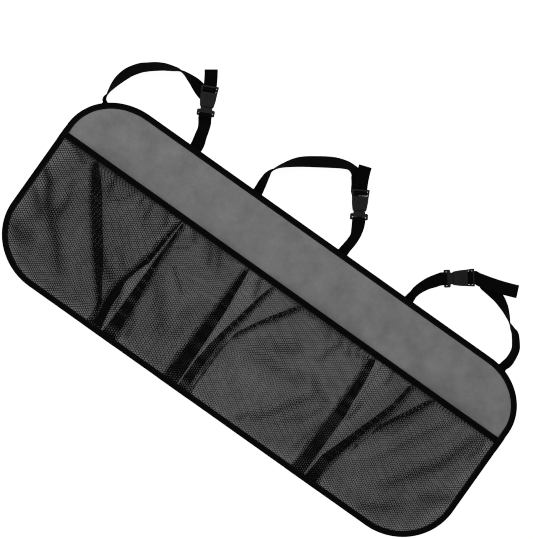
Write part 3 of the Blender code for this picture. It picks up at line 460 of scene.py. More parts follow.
# Creases in the net that aren't folded over: (x, y) of each point, width, pull and lift in millimetres, then how far
# the holes close. The net gathers towards the crease, so that its threads lie closer there.
creases = [
    ([(-512, 5), (-480, -14), (-460, -44), (-430, -74), (-396, -104), (-365, -138), (-338, -165)], 9, 3.4, 3.0, 0.75),
    ([(-440, 8), (-428, -24), (-428, -56), (-410, -92), (-384, -118)], 7, 2.6, 2.4, 0.55),
    ([(-500, -40), (-470, -62), (-440, -88)], 9, 2.0, 1.6, 0.35),
    ([(-500, -118), (-462, -128), (-430, -116)], 17, 2.6, 1.8, 0.35),
    ([(-500, 76), (-462, 62), (-440, 46)], 7, 2.0, 1.6, 0.45),
    ([(-380, 80), (-378, 50), (-366, 22)], 5, 2.0, 1.8, 0.55),
    ([(-366, 24), (-346, 40), (-326, 78)], 4, 1.6, 1.6, 0.45),
    ([(-312, 80), (-314, 60), (-311, 40)], 4, 1.6, 1.6, 0.5),
    ([(-294, 80), (-292, 46), (-280, 18)], 5, 1.8, 1.6, 0.45),
    ([(-270, 80), (-258, 60), (-247, 36)], 6, 1.8, 1.6, 0.45),
    ([(-256, 80), (-252, 74), (-232, 66)], 4, 1.2, 1.2, 0.4),
    ([(-320, -66), (-290, -88), (-262, -102)], 9, 2.4, 1.8, 0.5),
    ([(-300, -40), (-278, -56), (-258, -76)], 5, 1.4, 1.2, 0.3),
    ([(-246, -100), (-240, -124), (-236, -150)], 4, 1.2, 1.2, 0.4),
    ([(-206, 78), (-192, 62), (-182, 46)], 5, 1.8, 1.6, 0.5),
    ([(-216, 18), (-196, 30), (-182, 44)], 4, 1.2, 1.2, 0.35),
    ([(-164, 74), (-146, 50), (-136, 26)], 6, 2.2, 1.8, 0.5), ([(-146, 78), (-128, 52), (-112, 24)], 6, 1.8, 1.6, 0.4),
    ([(-190, -8), (-164, -30), (-140, -48)], 4, 1.6, 1.4, 0.5),
    ([(-206, -46), (-176, -76), (-150, -108), (-132, -146)], 13, 3.0, 2.2, 0.4),
    ([(-206, -120), (-192, -150), (-186, -178)], 7, 1.8, 1.6, 0.35),
    ([(-120, -56), (-112, -96), (-112, -140)], 12, 2.2, 1.8, 0.22),
    ([(-46, 80), (-38, 52), (-28, 24)], 6, 2.0, 1.6, 0.45), ([(60, 78), (70, 70), (92, 62)], 5, 1.6, 1.4, 0.4),
    ([(112, 80), (122, 60), (132, 40)], 7, 2.0, 1.6, 0.35),
    ([(144, 80), (152, 52), (140, 20), (136, -8)], 7, 2.2, 1.8, 0.4),
    ([(166, 80), (172, 60), (182, 40)], 5, 1.8, 1.6, 0.45), ([(184, 80), (190, 62), (202, 50)], 5, 1.8, 1.6, 0.45),
    ([(202, 80), (206, 62), (214, 44)], 5, 1.6, 1.4, 0.4), ([(32, -26), (70, -14), (110, 10)], 14, 2.4, 1.8, 0.28),
    ([(28, -48), (70, -54), (116, -48), (140, -20)], 13, 2.6, 1.8, 0.28),
    ([(176, -52), (150, -84), (128, -118), (106, -150), (92, -176)], 8, 2.8, 2.2, 0.5),
    ([(152, -26), (172, -44), (214, -56)], 8, 2.0, 1.6, 0.4),
    ([(200, -60), (180, -96), (150, -130), (120, -166)], 7, 2.0, 1.6, 0.32),
    ([(112, -132), (84, -162), (70, -184)], 7, 2.2, 1.8, 0.42),
    ([(212, -90), (202, -130), (196, -176)], 7, 1.8, 1.6, 0.35),
    ([(262, 78), (270, 60), (268, 36)], 5, 1.6, 1.4, 0.35), ([(252, -14), (250, -40), (244, -64)], 5, 1.6, 1.4, 0.4),
    ([(474, 62), (456, 20), (444, -16), (410, -68), (380, -110), (346, -146)], 10, 3.4, 2.6, 0.55),
    ([(420, 66), (396, 26), (372, -16), (350, -60), (322, -120)], 8, 2.4, 2.0, 0.35),
    ([(482, 74), (486, 44), (474, 4)], 8, 2.0, 1.6, 0.35), ([(384, 72), (408, 76), (440, 70)], 5, 1.6, 1.4, 0.35),
    ([(428, -128), (410, -144), (380, -166), (352, -184)], 9, 2.4, 1.8, 0.42),
    ([(498, -60), (470, -84), (430, -108)], 12, 2.4, 1.8, 0.25),
    ([(342, 30), (336, -10), (310, -60)], 7, 1.6, 1.4, 0.25),
]


def crease(x, y):
    # each point moves towards the nearest place of every crease by pull * t * exp(-t^2), t = distance / width
    moveX, moveY, rise, close = (np.zeros_like(x) for _ in range(4))
    inEdge = ease((edgeDistance(x, y) - 3 * mm) / (16 * mm)) * ease((mouthY - y) / (12 * mm))
    for line, width, pull, lift, shut in creases:
        line = curveThrough(metres(line), 5)
        best = np.full(x.shape, 1e9)
        awayX, awayY, reached = (np.zeros_like(x) for _ in range(3))
        for k, (start, end) in enumerate(zip(line[:-1], line[1:])):
            along = end - start
            t = np.clip(((x - start[0]) * along[0] + (y - start[1]) * along[1]) / along.dot(along), 0, 1)
            dx, dy = x - start[0] - along[0] * t, y - start[1] - along[1] * t
            far = np.hypot(dx, dy)
            near = far < best
            best, awayX, awayY, reached = (np.where(near, new, old) for new, old in (
                (far, best), (dx, awayX), (dy, awayY), ((k + t) / (len(line) - 1), reached)))
        t = best / (width * mm)
        fade = ease((1 - reached) / 0.3) * ease(0.5 + 2 * reached) * inEdge
        amount = pull * mm * t * np.exp(-t ** 2) * fade / np.maximum(best, 1e-6)
        moveX -= awayX * amount
        moveY -= awayY * amount
        rise += lift * mm * np.exp(-(1.4 * t) ** 2) * fade
        close = np.maximum(close, shut * np.exp(-t ** 2) * fade)
    return moveX, moveY, rise, close


def netLine(which, share):
    # the net's line across one pocket at one level, with each pleat's S folded in: x and lift
    low, high = [top + (bottom - top) * share for top, bottom in pockets["seams"][which:which + 2]]
    line, thick = [(low, 0.0)], pockets["layer"]
    for kind, ends, points in pleats[which]:
        shares, lefts, rights = np.array(points).T
        left, right = np.interp(share, shares, lefts) * mm, np.interp(share, shares, rights) * mm
        strength = float(np.clip((share - 0.025) / 0.04, 0, 1) * np.clip((ends - share) / 0.1, 0, 1))
        rise, ramp = thick * strength, pockets["ramp"] * strength
        inner, bend = right - (right - left) * strength, 0.45 * rise
        near, far, way = (right, inner, 1) if kind == "up" else (inner, right, -1)
        fold = [(near, 0.0), (near + way * bend, rise / 2), (near, rise), (far, rise), (far - way * bend, 1.5 * rise),
                (far, 2 * rise), (near, 2 * rise), (near + way * 0.5 * ramp, 0.9 * rise), (near + way * ramp, 0.0)]
        line += fold[::way]
    return np.array(line + [(high, 0.0)])


def netTable(which, rows=260, columns=900):
    # every line cut into equal lengths, so a thread keeps its spacing through the folds
    table, lengths = np.empty((rows, columns, 2)), []
    for row, share in enumerate(np.linspace(0, 1, rows)):
        line = netLine(which, share)
        run = travelled(line)
        lengths.append(run[-1])
        table[row] = alongPath(line, run, np.linspace(0, run[-1], columns))
    return table, float(np.mean(lengths))


def readTable(table, across, down):
    # blend of the four nearest entries
    rows, columns = table.shape[:2]
    r, c = np.clip(down, 0, 1) * (rows - 1), np.clip(across, 0, 1) * (columns - 1)
    r0, c0 = np.minimum(r.astype(int), rows - 2), np.minimum(c.astype(int), columns - 2)
    fr, fc = (r - r0)[:, None], (c - c0)[:, None]
    top, low = (table[row, c0] * (1 - fc) + table[row, c0 + 1] * fc for row in (r0, r0 + 1))
    return top * (1 - fr) + low * fr


def flatCells(which, table, width):
    # the honeycomb before it is laid: for each cell its six outer corners, then the hole's six
    pitch, column = pockets["pitch"], width / round(width / pockets["column"])
    i, j = np.meshgrid(np.arange(-1, int(round(width / column)) + 2), np.arange(-1, int(netSpan / pitch) + 2))
    centreX, centreY = (i * column).ravel(), ((j + 0.5 * (i % 2)) * pitch).ravel()
    angle = np.radians(60 * np.arange(6))
    ring = np.stack([np.cos(angle) * column / 1.5, np.sin(angle) * pitch / math.sqrt(3)])
    soft = (np.sin(centreX / (31 * mm) + which * 1.3) * np.sin(centreY / (43 * mm) + 0.8 + which)
            + 0.6 * np.sin((centreX + centreY) / (19 * mm) + which * 2.1))
    centre = readTable(table, centreX / width, centreY / netSpan)
    close = crease(centre[:, 0], mouthY - centreY)[3]
    folded = ease((centre[:, 1] / pockets["layer"] - 0.93) / 0.06)
    opened = ((pockets["open"][which] + 0.014 * soft) * (1 - 0.42 * close) * (1 - 0.20 * folded))[:, None]
    flat = np.concatenate([np.stack([centreX[:, None] + ring[0] * size, centreY[:, None] + ring[1] * size], -1)
                           for size in (np.ones_like(opened), opened)], 1)
    # equal places get equal unevenness, so that neighbours still meet
    key = np.round(flat / pockets["grain"]).astype(np.int64)
    uneven = [np.sin(key[..., 0] * a + key[..., 1] * b) for a, b in ((12.9898, 78.233), (39.346, 11.135))]
    return flat + np.stack(uneven, -1) * (0.012 * pitch)


def makeNet(which):
    # each cell is a ring of six quads between the threads' middle and the hole's rim
    table, width = netTable(which)
    flat = flatCells(which, table, width)
    across, down = flat[..., 0] / width, flat[..., 1] / netSpan
    inside = ((across > -0.002) & (across < 1.002) & (down > -0.01) & (down < 1.01)).any(1)
    across, down = across[inside], down[inside]
    place = readTable(table, across.ravel(), down.ravel()).reshape(*across.shape, 2)
    x, y = place[..., 0], mouthY - np.clip(down, 0, 1) * netSpan
    bottom = netBottom(x)
    whole = (y > bottom - 0.5 * mm).any(1) & (np.ptp(x, axis=1) > 0.2 * mm)
    x, y, lift = x[whole], np.maximum(y, bottom)[whole], place[..., 1][whole]
    moveX, moveY, rise, _ = crease(x, y)
    x, y = x + moveX, np.maximum(y + moveY, netBottom(x))
    down = np.clip((mouthY - y) / netSpan, 0, 1)
    x = np.clip(x, *(np.interp(down, [0, 1], ends) for ends in pockets["seams"][which:which + 2]))
    z = netHeight(x, y) + lift + rise
    z[:, :6] += pockets["thread"] / 2
    z[:, 6:] -= pockets["thread"] / 2
    points = np.stack([x, y, z], -1).reshape(-1, 3)
    base, k = (np.arange(len(x)) * 12)[:, None], np.arange(6)
    ahead = (k + 1) % 6
    faces = np.stack([base + k, base + ahead, base + 6 + ahead, base + 6 + k], -1).reshape(-1, 4)
    # places that agree become one; a quad that loses a corner by it, or lies on another, is left out
    welded, back = np.unique(np.round(points / pockets["weld"]).astype(np.int64), axis=0, return_inverse=True)
    merged = np.zeros((len(welded), 3))
    merged[back.ravel()] = points
    faces = back.ravel()[faces]
    faces = faces[[len(set(f)) == 4 for f in faces.tolist()]]
    firsts = np.sort(np.unique(np.sort(faces, axis=1), axis=0, return_index=True)[1])
    piece = makePiece(f"netPocket{which + 1}", merged, faces[firsts][:, ::-1], smoothAngle=180, recalc=False)
    piece = dress(piece, net, "net", "net_front")
    area, sheetArea = sum(face.area for face in piece.data.polygons), width * netSpan
    min(max(area, 0.301 * sheetArea), sheetArea)
    print(piece.name, len(piece.data.polygons) * 2, "triangles, share of thread", round(area / sheetArea, 2))
    return piece


for which in range(4):
    makeNet(which)
print("net made")


# Tape on the panel's edge and on the mouth of the pockets

binding = metres({"thick": 0.6, "leg": 10.6, "gap": 0.3, "legEase": 7, "step": 3.5, "pucker": 0.16, "wave": 9,
                  "crown": 0.25, "sway": 0.15, "swayWave": 31, "overNet": 0.9, "lumpEase": 9})
mouth = metres({"thick": 0.5, "wide": 11.2, "step": 4, "pucker": 0.12, "wave": 11, "offNet": 0.4})
lumps = metres([(-260, -201), (-90, -31), (213, 271)])


def legHeight(x, y):
    # the upper leg lies on the net, its folds and the mouth tape
    slope = binding["legEase"]
    overNet = ease((mouthY + slope + 2 * mm - y) / slope)
    overMouth = overNet * ease((y - (mouthY - mouth["wide"] - 2 * slope)) / slope)
    height = panel["thick"] + binding["gap"] + overNet * binding["overNet"]
    height = height + overMouth * (binding["overNet"] + 2 * mouth["thick"] + binding["gap"])
    for low, high in lumps:
        rise = np.minimum(x - (low - binding["lumpEase"]), (high + binding["lumpEase"]) - x) / binding["lumpEase"]
        height = height + np.where(y < 0, np.clip(rise, 0, 1), 0) * 2 * pockets["layer"]
    return height


def makeBinding():
    # a U-shaped section carried round the edge; its upper leg swells a little between the stitches
    edge, inward = roundCorners(binding["step"])
    lift, along = marginLift(edge, inward), travelled(edge)
    t, leg, low = binding["thick"], binding["leg"], -binding["gap"]
    top, topIn = (legHeight(*(edge + inward * reach).T) + lift + t for reach in (0, leg))
    out, crown = low - t, binding["crown"]
    wave = ripple(along, 1.0, binding["wave"]) * binding["pucker"]
    side = ripple(along, 3.0, binding["swayWave"]) * binding["sway"]
    # distance inside the edge, height, and share of the wave
    section = [(leg, lift, 0), (leg * 0.5, lift, 0), (out + 0.5 * mm, lift, 0), (out, lift + 0.5 * mm, 0),
               (out, top - 0.6 * mm, 0), (out + 0.2 * mm, top - 0.15 * mm, 0.3), (out + 0.9 * mm, top + 0.05 * mm, 0.6),
               (leg * 0.3, top * 0.6 + topIn * 0.4 + crown, 1), (leg * 0.62, topIn + crown * 0.9, 1),
               (leg * 0.8, topIn + 0.02 * mm, 0.2), (leg * 0.93, topIn + 0.05 * mm, 0.5), (leg, topIn - 0.1 * mm, 0.4),
               (leg, topIn - t + 0.1 * mm, 0), (low, top - t, 0), (low, lift + t, 0), (leg, lift + t, 0)]
    rows = [np.column_stack([edge + inward * (far + side * (far > leg * 0.9))[:, None], height + wave * share])
            for far, height, share in section]
    return dress(makeTape("edgeTape", rows, along, True), tape, "webbing", "edge_binding")


def makeMouthTape():
    # a folded section along the mouth, lifted with the net's arch
    half = halfWide - pockets["inset"]
    x = np.linspace(-half, half, int(2 * half / mouth["step"]))
    inner = pockets["netThick"] / 2 + mouth["offNet"]
    outer, low, top = inner + mouth["thick"], mouthY - mouth["wide"], mouthY
    wave = ripple(x, 2.3, mouth["wave"]) * mouth["pucker"]
    # y, distance off the net, and share of the wave
    section = [(low, inner, 0), (low, outer - 0.12 * mm, 0.5), (low + 0.5 * mm, outer, 1),
               (low + 1.7 * mm, outer - 0.12 * mm, 0.2), (low + 3.0 * mm, outer + 0.05 * mm, 1),
               (top - 7 * mm, outer + 0.15 * mm, 1), (top - 1.5 * mm, outer + 0.05 * mm, 1),
               (top, outer - 0.05 * mm, 0.5), (top + 0.7 * mm, inner, 0), (top + 0.9 * mm, 0, 0),
               (top + 0.7 * mm, -inner, 0), (top, -outer, 0), (low, -outer, 0), (low, -inner, 0),
               (top + 0.3 * mm, -inner, 0), (top + 0.3 * mm, inner, 0)]
    rows = [np.column_stack([x, np.full(len(x), y), netHeight(x, np.full(len(x), min(y, top))) + offset + wave * share])
            for y, offset, share in section]
    piece = makeTape("mouthTape", rows, x, False, endCaps(len(rows), len(x)))
    return dress(piece, tape, "webbing", "mouth_binding")


edgeTape = makeBinding()
makeMouthTape()
print("tapes made")


# Stitches: short threads that rise out of the cloth and go down again

stitch = {"sides": 6, "rings": 5, **metres({"rise": 0.1, "seamSway": 0.5, "seamWave": 21})}
plainStitch = metres({"pitch": 3.6, "length": 2.7, "radius": 0.22})
edgeStitch = metres({"pitch": 3.6, "length": 2.9, "radius": 0.22})
seamStitch = metres({"pitch": 4.2, "length": 3.2, "radius": 0.3})
webStitch = metres({"pitch": 3.0, "length": 2.3, "radius": 0.22})


def makeStitches(name, path, finish, size, up=(0, 0, 1)):
    # copies of one bent capsule, set at even lengths along a path
    path, length, radius, rise = np.asarray(path, float), size["length"], size["radius"], stitch["rise"]
    run = travelled(path)
    count = max(1, int(run[-1] / size["pitch"]))
    middle = (np.arange(count) + 0.5) * run[-1] / count
    at = alongPath(path, run, middle)
    heading = unit(alongPath(path, run, middle + length / 2) - alongPath(path, run, middle - length / 2))
    side = unit(np.cross(heading, np.asarray(up, float)))
    top = np.cross(side, heading)
    share = np.linspace(-1, 1, stitch["rings"])
    thick = (radius * np.sqrt(np.clip(1.05 - share ** 4, 0.05, 1)))[:, None]
    arc = (rise - (radius * 1.6 + rise) * share ** 4)[:, None]
    turn = np.linspace(0, 2 * np.pi, stitch["sides"], endpoint=False)
    shape = np.stack([share[:, None] * length / 2 + 0 * turn, thick * np.cos(turn), arc + thick * np.sin(turn)], -1)
    shape = shape.reshape(1, -1, 3)
    points = (at[:, None] + heading[:, None] * shape[..., :1] + side[:, None] * shape[..., 1:2]
              + top[:, None] * shape[..., 2:])
    step, around = shape.shape[1], np.arange(stitch["sides"])
    starts = np.arange(count) * step
    faces = (gridFaces(stitch["rings"], stitch["sides"], False, True)[None] + starts[:, None, None]).reshape(-1, 4)
    ends = [tuple(end) for start in starts for end in (start + around, start + step - 1 - around)]
    piece = makePiece(name, points.reshape(-1, 3), faces, extraFaces=ends, smoothAngle=180)
    return dress(piece, finish, "webbing")


def sewOnNet(name, x, y, above, finish, size):
    makeStitches(name, np.column_stack([x, y, netHeight(x, y) + above]), finish, size)


def sewTapes():
    edge, inward = roundCorners(3 * mm)
    inner = edge + inward * (0.8 * binding["leg"])
    height = legHeight(*inner.T) + marginLift(edge, inward) + binding["thick"]
    loop = np.column_stack([inner, height + 0.05 * mm])
    makeStitches("edgeStitches", np.vstack([loop, loop[:1]]), blackThread, edgeStitch)
    x = np.linspace(10 * mm - halfWide, halfWide - 10 * mm, 400)
    y = np.full(len(x), mouthY - mouth["wide"] + 1.7 * mm)
    above = pockets["netThick"] / 2 + mouth["offNet"] + mouth["thick"] - 0.1 * mm
    sewOnNet("mouthStitches", x, y, above, blackThread, plainStitch)


def sewSeams():
    # each seam runs down the net, pulled on to the panel
    for number, (top, bottom) in enumerate(pockets["seams"][1:4]):
        share = np.linspace(mouth["wide"] / netSpan, 0.975, 120)
        y = mouthY - share * netSpan
        x = top + (bottom - top) * share + stitch["seamSway"] * np.sin(y / stitch["seamWave"] + number)
        sewOnNet(f"seamStitches{number + 1}", x, y, pockets["thread"] + 0.15 * mm, greyThread, seamStitch)


sewTapes()
sewSeams()
print("stitches made")


# Straps. Places are x and the height above the panel's top edge; the third number is the web's turn in degrees.

buckle = metres({"bar": 4.0, "barRise": 3.2, "baseBar": 3.6, "baseSlot": 2.6, "baseCross": 5.8, "waist": 4.8,
                 "body": 29.1, "high": 10.0, "innerSlot": 3.0, "middleBar": 3.7, "outerSlot": 2.4, "endBar": 3.3})
baseLong = buckle["baseBar"] + buckle["baseSlot"] + buckle["baseCross"]
bodyEnd = baseLong / 2 + buckle["waist"] + buckle["body"]
middleStart = bodyEnd + buckle["innerSlot"]
outerStart = middleStart + buckle["middleBar"]
endStart = outerStart + buckle["outerSlot"]
lockEnd = endStart + buckle["endBar"]
overBar, underBar = buckle["barRise"] + buckle["bar"] + gap + webT / 2, buckle["barRise"] - gap - webT / 2

loopCup = 2.2 * mm
loops = {
    "left": {"buckle": (-311.2, 66.4, 26.0), "seat": 3.0, "threading": "straight", "tail": (31, -3, 6, 0.3),
             "longBase": -479.3, "longTurn": 1, "longGather": 0.3,
             "shortBase": -288.8, "shortTurn": 1, "shortGather": 1.0,
             "long": [(-484.4, -24.4, 52), (-485.6, -18.6, 88), (-485.4, -10, 104), (-485.1, -1, 115), (-484.8, 7, 124),
                      (-483.4, 20, 137), (-480, 34, 146), (-474.2, 48, 148), (-463, 64, 146), (-452, 74, 141),
                      (-440.4, 83.4, 139), (-426.5, 92.2, 132), (-410.8, 99.1, 120), (-400.5, 103.4, 108),
                      (-393.0, 105.2, 90), (-379.2, 103.9, 68), (-369.0, 102.6, 54), (-359.0, 100.9, 36)],
             "short": [(-289.9, 12, 10), (-293.3, 24.8, 26), (-297.2, 39.9, 30), (-302.4, 50.5, 14)]},
    "middle": {"buckle": (42.3, 74.3, 31.5), "seat": 0.2, "threading": "back", "tail": (44, 5, 15, 0.0), "slit": 1,
               "longBase": -143.2, "longTurn": 1, "longGather": 0.75,
               "shortBase": 56.7, "shortTurn": 1, "shortGather": 0.8,
               "long": [(-144.2, 12, 41), (-146.0, 28, 58), (-146.5, 39, 68), (-144.4, 52.4, 90),
                        (-131.2, 71.8, 114), (-109.9, 94.8, 143), (-81.6, 115.2, 153), (-57.5, 130.6, 151),
                        (-37, 140.0, 136), (-24, 142.4, 130), (-11, 139.6, 146), (-2.6, 132.8, 166), (4.2, 124.9, 177),
                        (13.0, 111.6, 179)],
               "short": [(57, 13.4, 36), (58.2, 26.8, 40), (57.5, 40.2, 38), (53.6, 53, 20)]},
    "right": {"buckle": (248.0, 75.4, -52.3), "seat": 0.2, "threading": "back", "tail": (78, 30, 24, 1.3), "slit": -1,
              "longBase": 432.5, "longTurn": -1, "longGather": 0.66,
              "shortBase": 212.2, "shortTurn": 1, "shortGather": 0.72,
              "long": [(434.9, 11, 50), (435.0, 24.8, 60), (432.4, 39.2, 62), (426.3, 49.8, 64),
                       (414.2, 64.1, 68), (404.8, 69.3, 79), (398.5, 73.4, 90), (388, 80.5, 109),
                       (376.9, 88.5, 123), (366.3, 95, 136), (350, 102.2, 151), (332, 106.6, 167)],
              "short": [(212.3, 13, 42), (214.0, 24, 42), (218.4, 36, 36), (224.6, 48, 27), (232.0, 58.6, 14)]},
}


def roundPath(points, radius, steps=4):
    # each corner becomes a small parabola between two points on its sides
    points = np.array(points, float)
    path = [points[0]]
    for before, corner, after in zip(points[:-2], points[1:-1], points[2:]):
        reach = min(radius, np.linalg.norm(corner - before) * 0.48, np.linalg.norm(after - corner) * 0.48)
        start, end = corner + unit(before - corner) * reach, corner + unit(after - corner) * reach
        path += [(1 - t) ** 2 * start + 2 * t * (1 - t) * corner + t ** 2 * end for t in np.linspace(0, 1, steps + 1)]
    return np.array(path + [points[-1]])


class Lay:
    # a strap at its buckle, with directions across the buckle, along it from the prongs to the lock, and up;
    # a station is a middle, half-width direction, face direction, thickness, and how far the web cups
    def __init__(self, loop):
        x, above, angle = loop["buckle"]
        turn = math.radians(angle)
        self.origin = np.array([x * mm, halfHigh + above * mm, loop["seat"] * mm])
        self.across = np.array([math.cos(turn), math.sin(turn), 0])
        self.along = np.array([-math.sin(turn), math.cos(turn), 0])
        self.up = np.array([0, 0, 1])
        self.loop, self.stations = loop, []

    def flat(self, way):
        return self.across * way[0] + self.along * way[1]

    def place(self, x, y, z):
        return self.origin + self.flat((x, y)) + self.up * z

    def add(self, centre, half, normal, thickness=webT, cup=0.0):
        self.stations.append(np.concatenate([centre, half, normal, [thickness, cup]]))

    def tab(self, length):
        # flat under the panel, and gathered where it comes out
        place, outward = tabPlace(self.loop[length + "Base"] * mm)
        half, sewn, out = np.array([-outward[1], outward[0], 0]) * webHalf, panel["tabLength"], panel["tabOut"]
        for far, width in ((-sewn, 1), (-sewn / 2, 1), (-8 * mm, 1), (out, self.loop[length + "Gather"])):
            self.add(np.array([*(place + outward * far), webT / 2]), half * width, (0, 0, 1))
        return (*(place + outward * out), 0.0)

    def free(self, length, entry, arrive, lastTurn=0.0, raised=0.0):
        # out of the panel, by the places read from the photograph, to the buckle; its lower edge stays on the floor
        # while the web turns about its own line, and the last quarter can rise
        places = [(x * mm, halfHigh + y * mm, turn) for x, y, turn in self.loop[length]]
        curve = curveThrough([self.tab(length), *places, (*self.place(*entry, 0)[:2], lastTurn)], 6)
        sign, gather = self.loop[length + "Turn"], self.loop[length + "Gather"]
        heading = unit(np.gradient(curve[:, :2], axis=0))
        side = np.column_stack([-heading[:, 1], heading[:, 0]])
        run = travelled(curve[:, :2])
        near = ease(1 - (run[-1] - run) / (26 * mm))[:, None]
        side = unit(side * (1 - near) + np.array([-arrive[1], arrive[0]]) * near)
        turn = np.radians(curve[:, 2]) * sign
        lifted = np.interp(np.linspace(0, 1, len(curve)), [0, 0.75, 1], [0, 0, raised])
        wide = webHalf * (1 - (1 - gather) * (1 - ease(run / (15 * mm))))
        height = wide * np.abs(np.sin(turn)) + webT / 2 * np.abs(np.cos(turn)) + lifted
        for i in range(1, len(curve) - 1):
            across = np.array([*(side[i] * math.cos(turn[i])), math.sin(turn[i])])
            ends = float(ease(min(run[i] / (6 * mm), (run[-1] - run[i]) / (20 * mm))))
            self.add(np.array([*curve[i, :2], height[i]]), across * wide[i],
                     unit(np.cross([*heading[i], 0.0], across)), webT, loopCup * math.sin(turn[i]) ** 4 * ends)

    def through(self, path, sign, upright=webT, slit=0.0):
        # in the first slot the web stands doubled, and a little askew
        path = roundPath(path, 1.0 * mm)
        for (y, z), (ty, tz) in zip(path, unit(np.gradient(path, axis=0))):
            first = abs(tz) > 0.95 and abs(y - path[len(path) // 3][0]) < 2.5 * mm
            across = self.across * sign
            self.add(self.place(0, y, z), across * webHalf + self.along * sign * slit * first,
                     unit(np.cross(self.along * ty + self.up * tz, across)), upright if first else webT)

    def tail(self, sign):
        # it drifts aside by share * early + share^2 * (1 - early)
        (length, drift, rise), early = metres(self.loop["tail"][:3]), self.loop["tail"][3]
        for share in np.linspace(0.14, 1, 16):
            bend, slope = share * early + share ** 2 * (1 - early), early + 2 * share * (1 - early)
            place = self.place(drift * bend, lockEnd + length * share, underBar + rise * share)
            travel = unit(self.flat((drift * slope, length)) + self.up * rise)
            across = unit(np.cross(self.up, travel)) * -sign
            hem = length * (1 - share) < 10 * mm
            self.add(place, across * webHalf, unit(np.cross(travel, across)), 2 * webT if hem else webT)

    def fold(self, incoming, turnY):
        # a flat strap from the side is folded over, and goes on along the buckle
        heading, along, lowZ = unit(np.array(incoming)), np.array([0.0, 1.0]), webT / 2
        line = unit(heading + along)
        width = np.array([-heading[1], heading[0]])
        widthAfter = 2 * width.dot(line) * line - width
        skew = heading.dot(line) / width.dot(line)
        past = unit(heading - heading.dot(line) * line)
        corner, radius = np.array([0.0, turnY]), layer / 2

        def station(place, half, z, normal):
            self.add(self.place(*place, z - self.origin[2]), self.flat(half) * webHalf, normal)

        for back, share in ((15 * mm, 0.0), (10 * mm, 0.3), (5 * mm, 0.65), (0.6 * mm, 1.0)):
            station(corner - heading * back, width + skew * share * heading, lowZ, (0, 0, 1))
        for angle in np.radians([30, 60, 90, 120, 150]):
            sine, cosine = math.sin(angle), math.cos(angle)
            station(corner + past * radius * sine, width + skew * heading, lowZ + radius * (1 - cosine),
                    unit(self.up * cosine - self.flat(past) * sine))
        for ahead, share in ((0.6 * mm, 1.0), (4.5 * mm, 0.5), (9 * mm, 0.0)):
            station(corner + along * ahead, widthAfter + skew * share * along, lowZ + layer, (0, 0, -1))


def makeWeb(name, lay, node):
    # stations carry a rounded flat section; the map runs in metres along and across the web
    s = np.array(lay.stations)
    run = travelled(s[:, :3])
    keep = np.concatenate([[True], np.diff(run) > 1e-6])
    s, run = s[keep], run[keep]
    centre, half, normal, thick, cup = s[:, :3], s[:, 3:6], unit(s[:, 6:9]), s[:, 9:10], s[:, 10:]
    section = [(1.0, 0.25), (0.995, 0.62), (0.96, 0.92), (0.86, 0.92), (0.45, 0.98), (0, 1.0)]
    section += [(-a, b) for a, b in section[-2::-1]]
    rows, uv = [], []
    for face in (1, -1):
        for a, b in section[::face]:
            rows.append(centre + half * a + normal * (thick / 2 * b * face + cup * (1 - a * a)))
            uv.append(np.column_stack([run, np.full(len(run), (1 - a) * webHalf)]))
    print(name, round(run[-1] / mm), "mm of webbing")
    faces = gridFaces(len(rows), len(run), True)
    piece = makePiece(name, np.vstack(rows), faces, np.vstack(uv), endCaps(len(rows), len(run)), 55)
    return dress(piece, webbing, "webbing", node)


def layLong(loop):
    lay = Lay(loop)
    if loop["threading"] == "straight":
        turnY, aside, back = bodyEnd - 11 * mm, 0.791, 0.612
        lay.free("long", (-aside * 15 * mm, turnY + back * 15 * mm), lay.flat((aside, -back)))
        lay.fold((aside, -back), turnY)
        start, low, sign = bodyEnd, webT / 2 + layer - lay.origin[2], 1
        climb, down, doubled = middleStart - gap - webT / 2, (outerStart + endStart) / 2, {}
    else:
        start, low, sign = lockEnd + 5 * mm, underBar - layer, -1
        lay.free("long", (0, lockEnd + 6 * mm), -lay.along, 180.0, low + loop["seat"] * mm - webT / 2)
        climb, down = (bodyEnd + middleStart) / 2, outerStart + gap + webT / 2
        doubled = {"upright": 2.0 * mm, "slit": 0.45 * mm * loop["slit"]}
    lay.through([(start, low), (climb, low), (climb, overBar), (down, overBar), (down, underBar), (lockEnd, underBar)],
                sign, **doubled)
    lay.tail(sign)
    return lay


def layShort(loop):
    lay, outside = Lay(loop), -baseLong / 2 - 1.0 * mm
    lay.free("short", (0, outside - 5 * mm), lay.along, raised=0.4 * (overBar + loop["seat"] * mm))
    slot = -baseLong / 2 + buckle["baseBar"] + buckle["baseSlot"] / 2
    lay.through([(outside - 3 * mm, overBar - 2.2 * mm), (outside + 1 * mm, overBar), (slot, overBar), (slot, underBar),
                 (outside - 2 * mm, underBar), (outside - 5 * mm, underBar - 0.8 * mm)], -1, upright=2.3 * mm)
    return lay


def sewHem(name, stations):
    # across the tail, on its upper face
    end = stations[-1]
    normal = unit(end[6:9])
    normal = normal * np.sign(normal[2])
    hem = end[:3] + unit(stations[-4][:3] - end[:3]) * 8.2 * mm + normal * (webT * 0.98)
    line = [hem + end[3:6] * a for a in np.linspace(-0.86, 0.86, 9)]
    makeStitches(name, line, blackThread, webStitch, normal)


def sewTab(name, baseX):
    # a box with a cross, on the panel's back
    place, outward = tabPlace(baseX)
    across = np.array([-outward[1], outward[0]])
    box = [(-27, -10), (-27, 10), (-11.5, 10), (-11.5, -10), (-27, -10), (-11.5, 10), (-11.5, -10), (-27, 10)]
    corners = np.array([[*(place + outward * a * mm + across * b * mm), -0.02 * mm] for a, b in box])
    path = [np.linspace(a, b, 8, endpoint=False) for a, b in zip(corners[:-1], corners[1:])]
    makeStitches(name, np.vstack(path + [corners[-1:]]), blackThread, webStitch, (0, 0, -1))


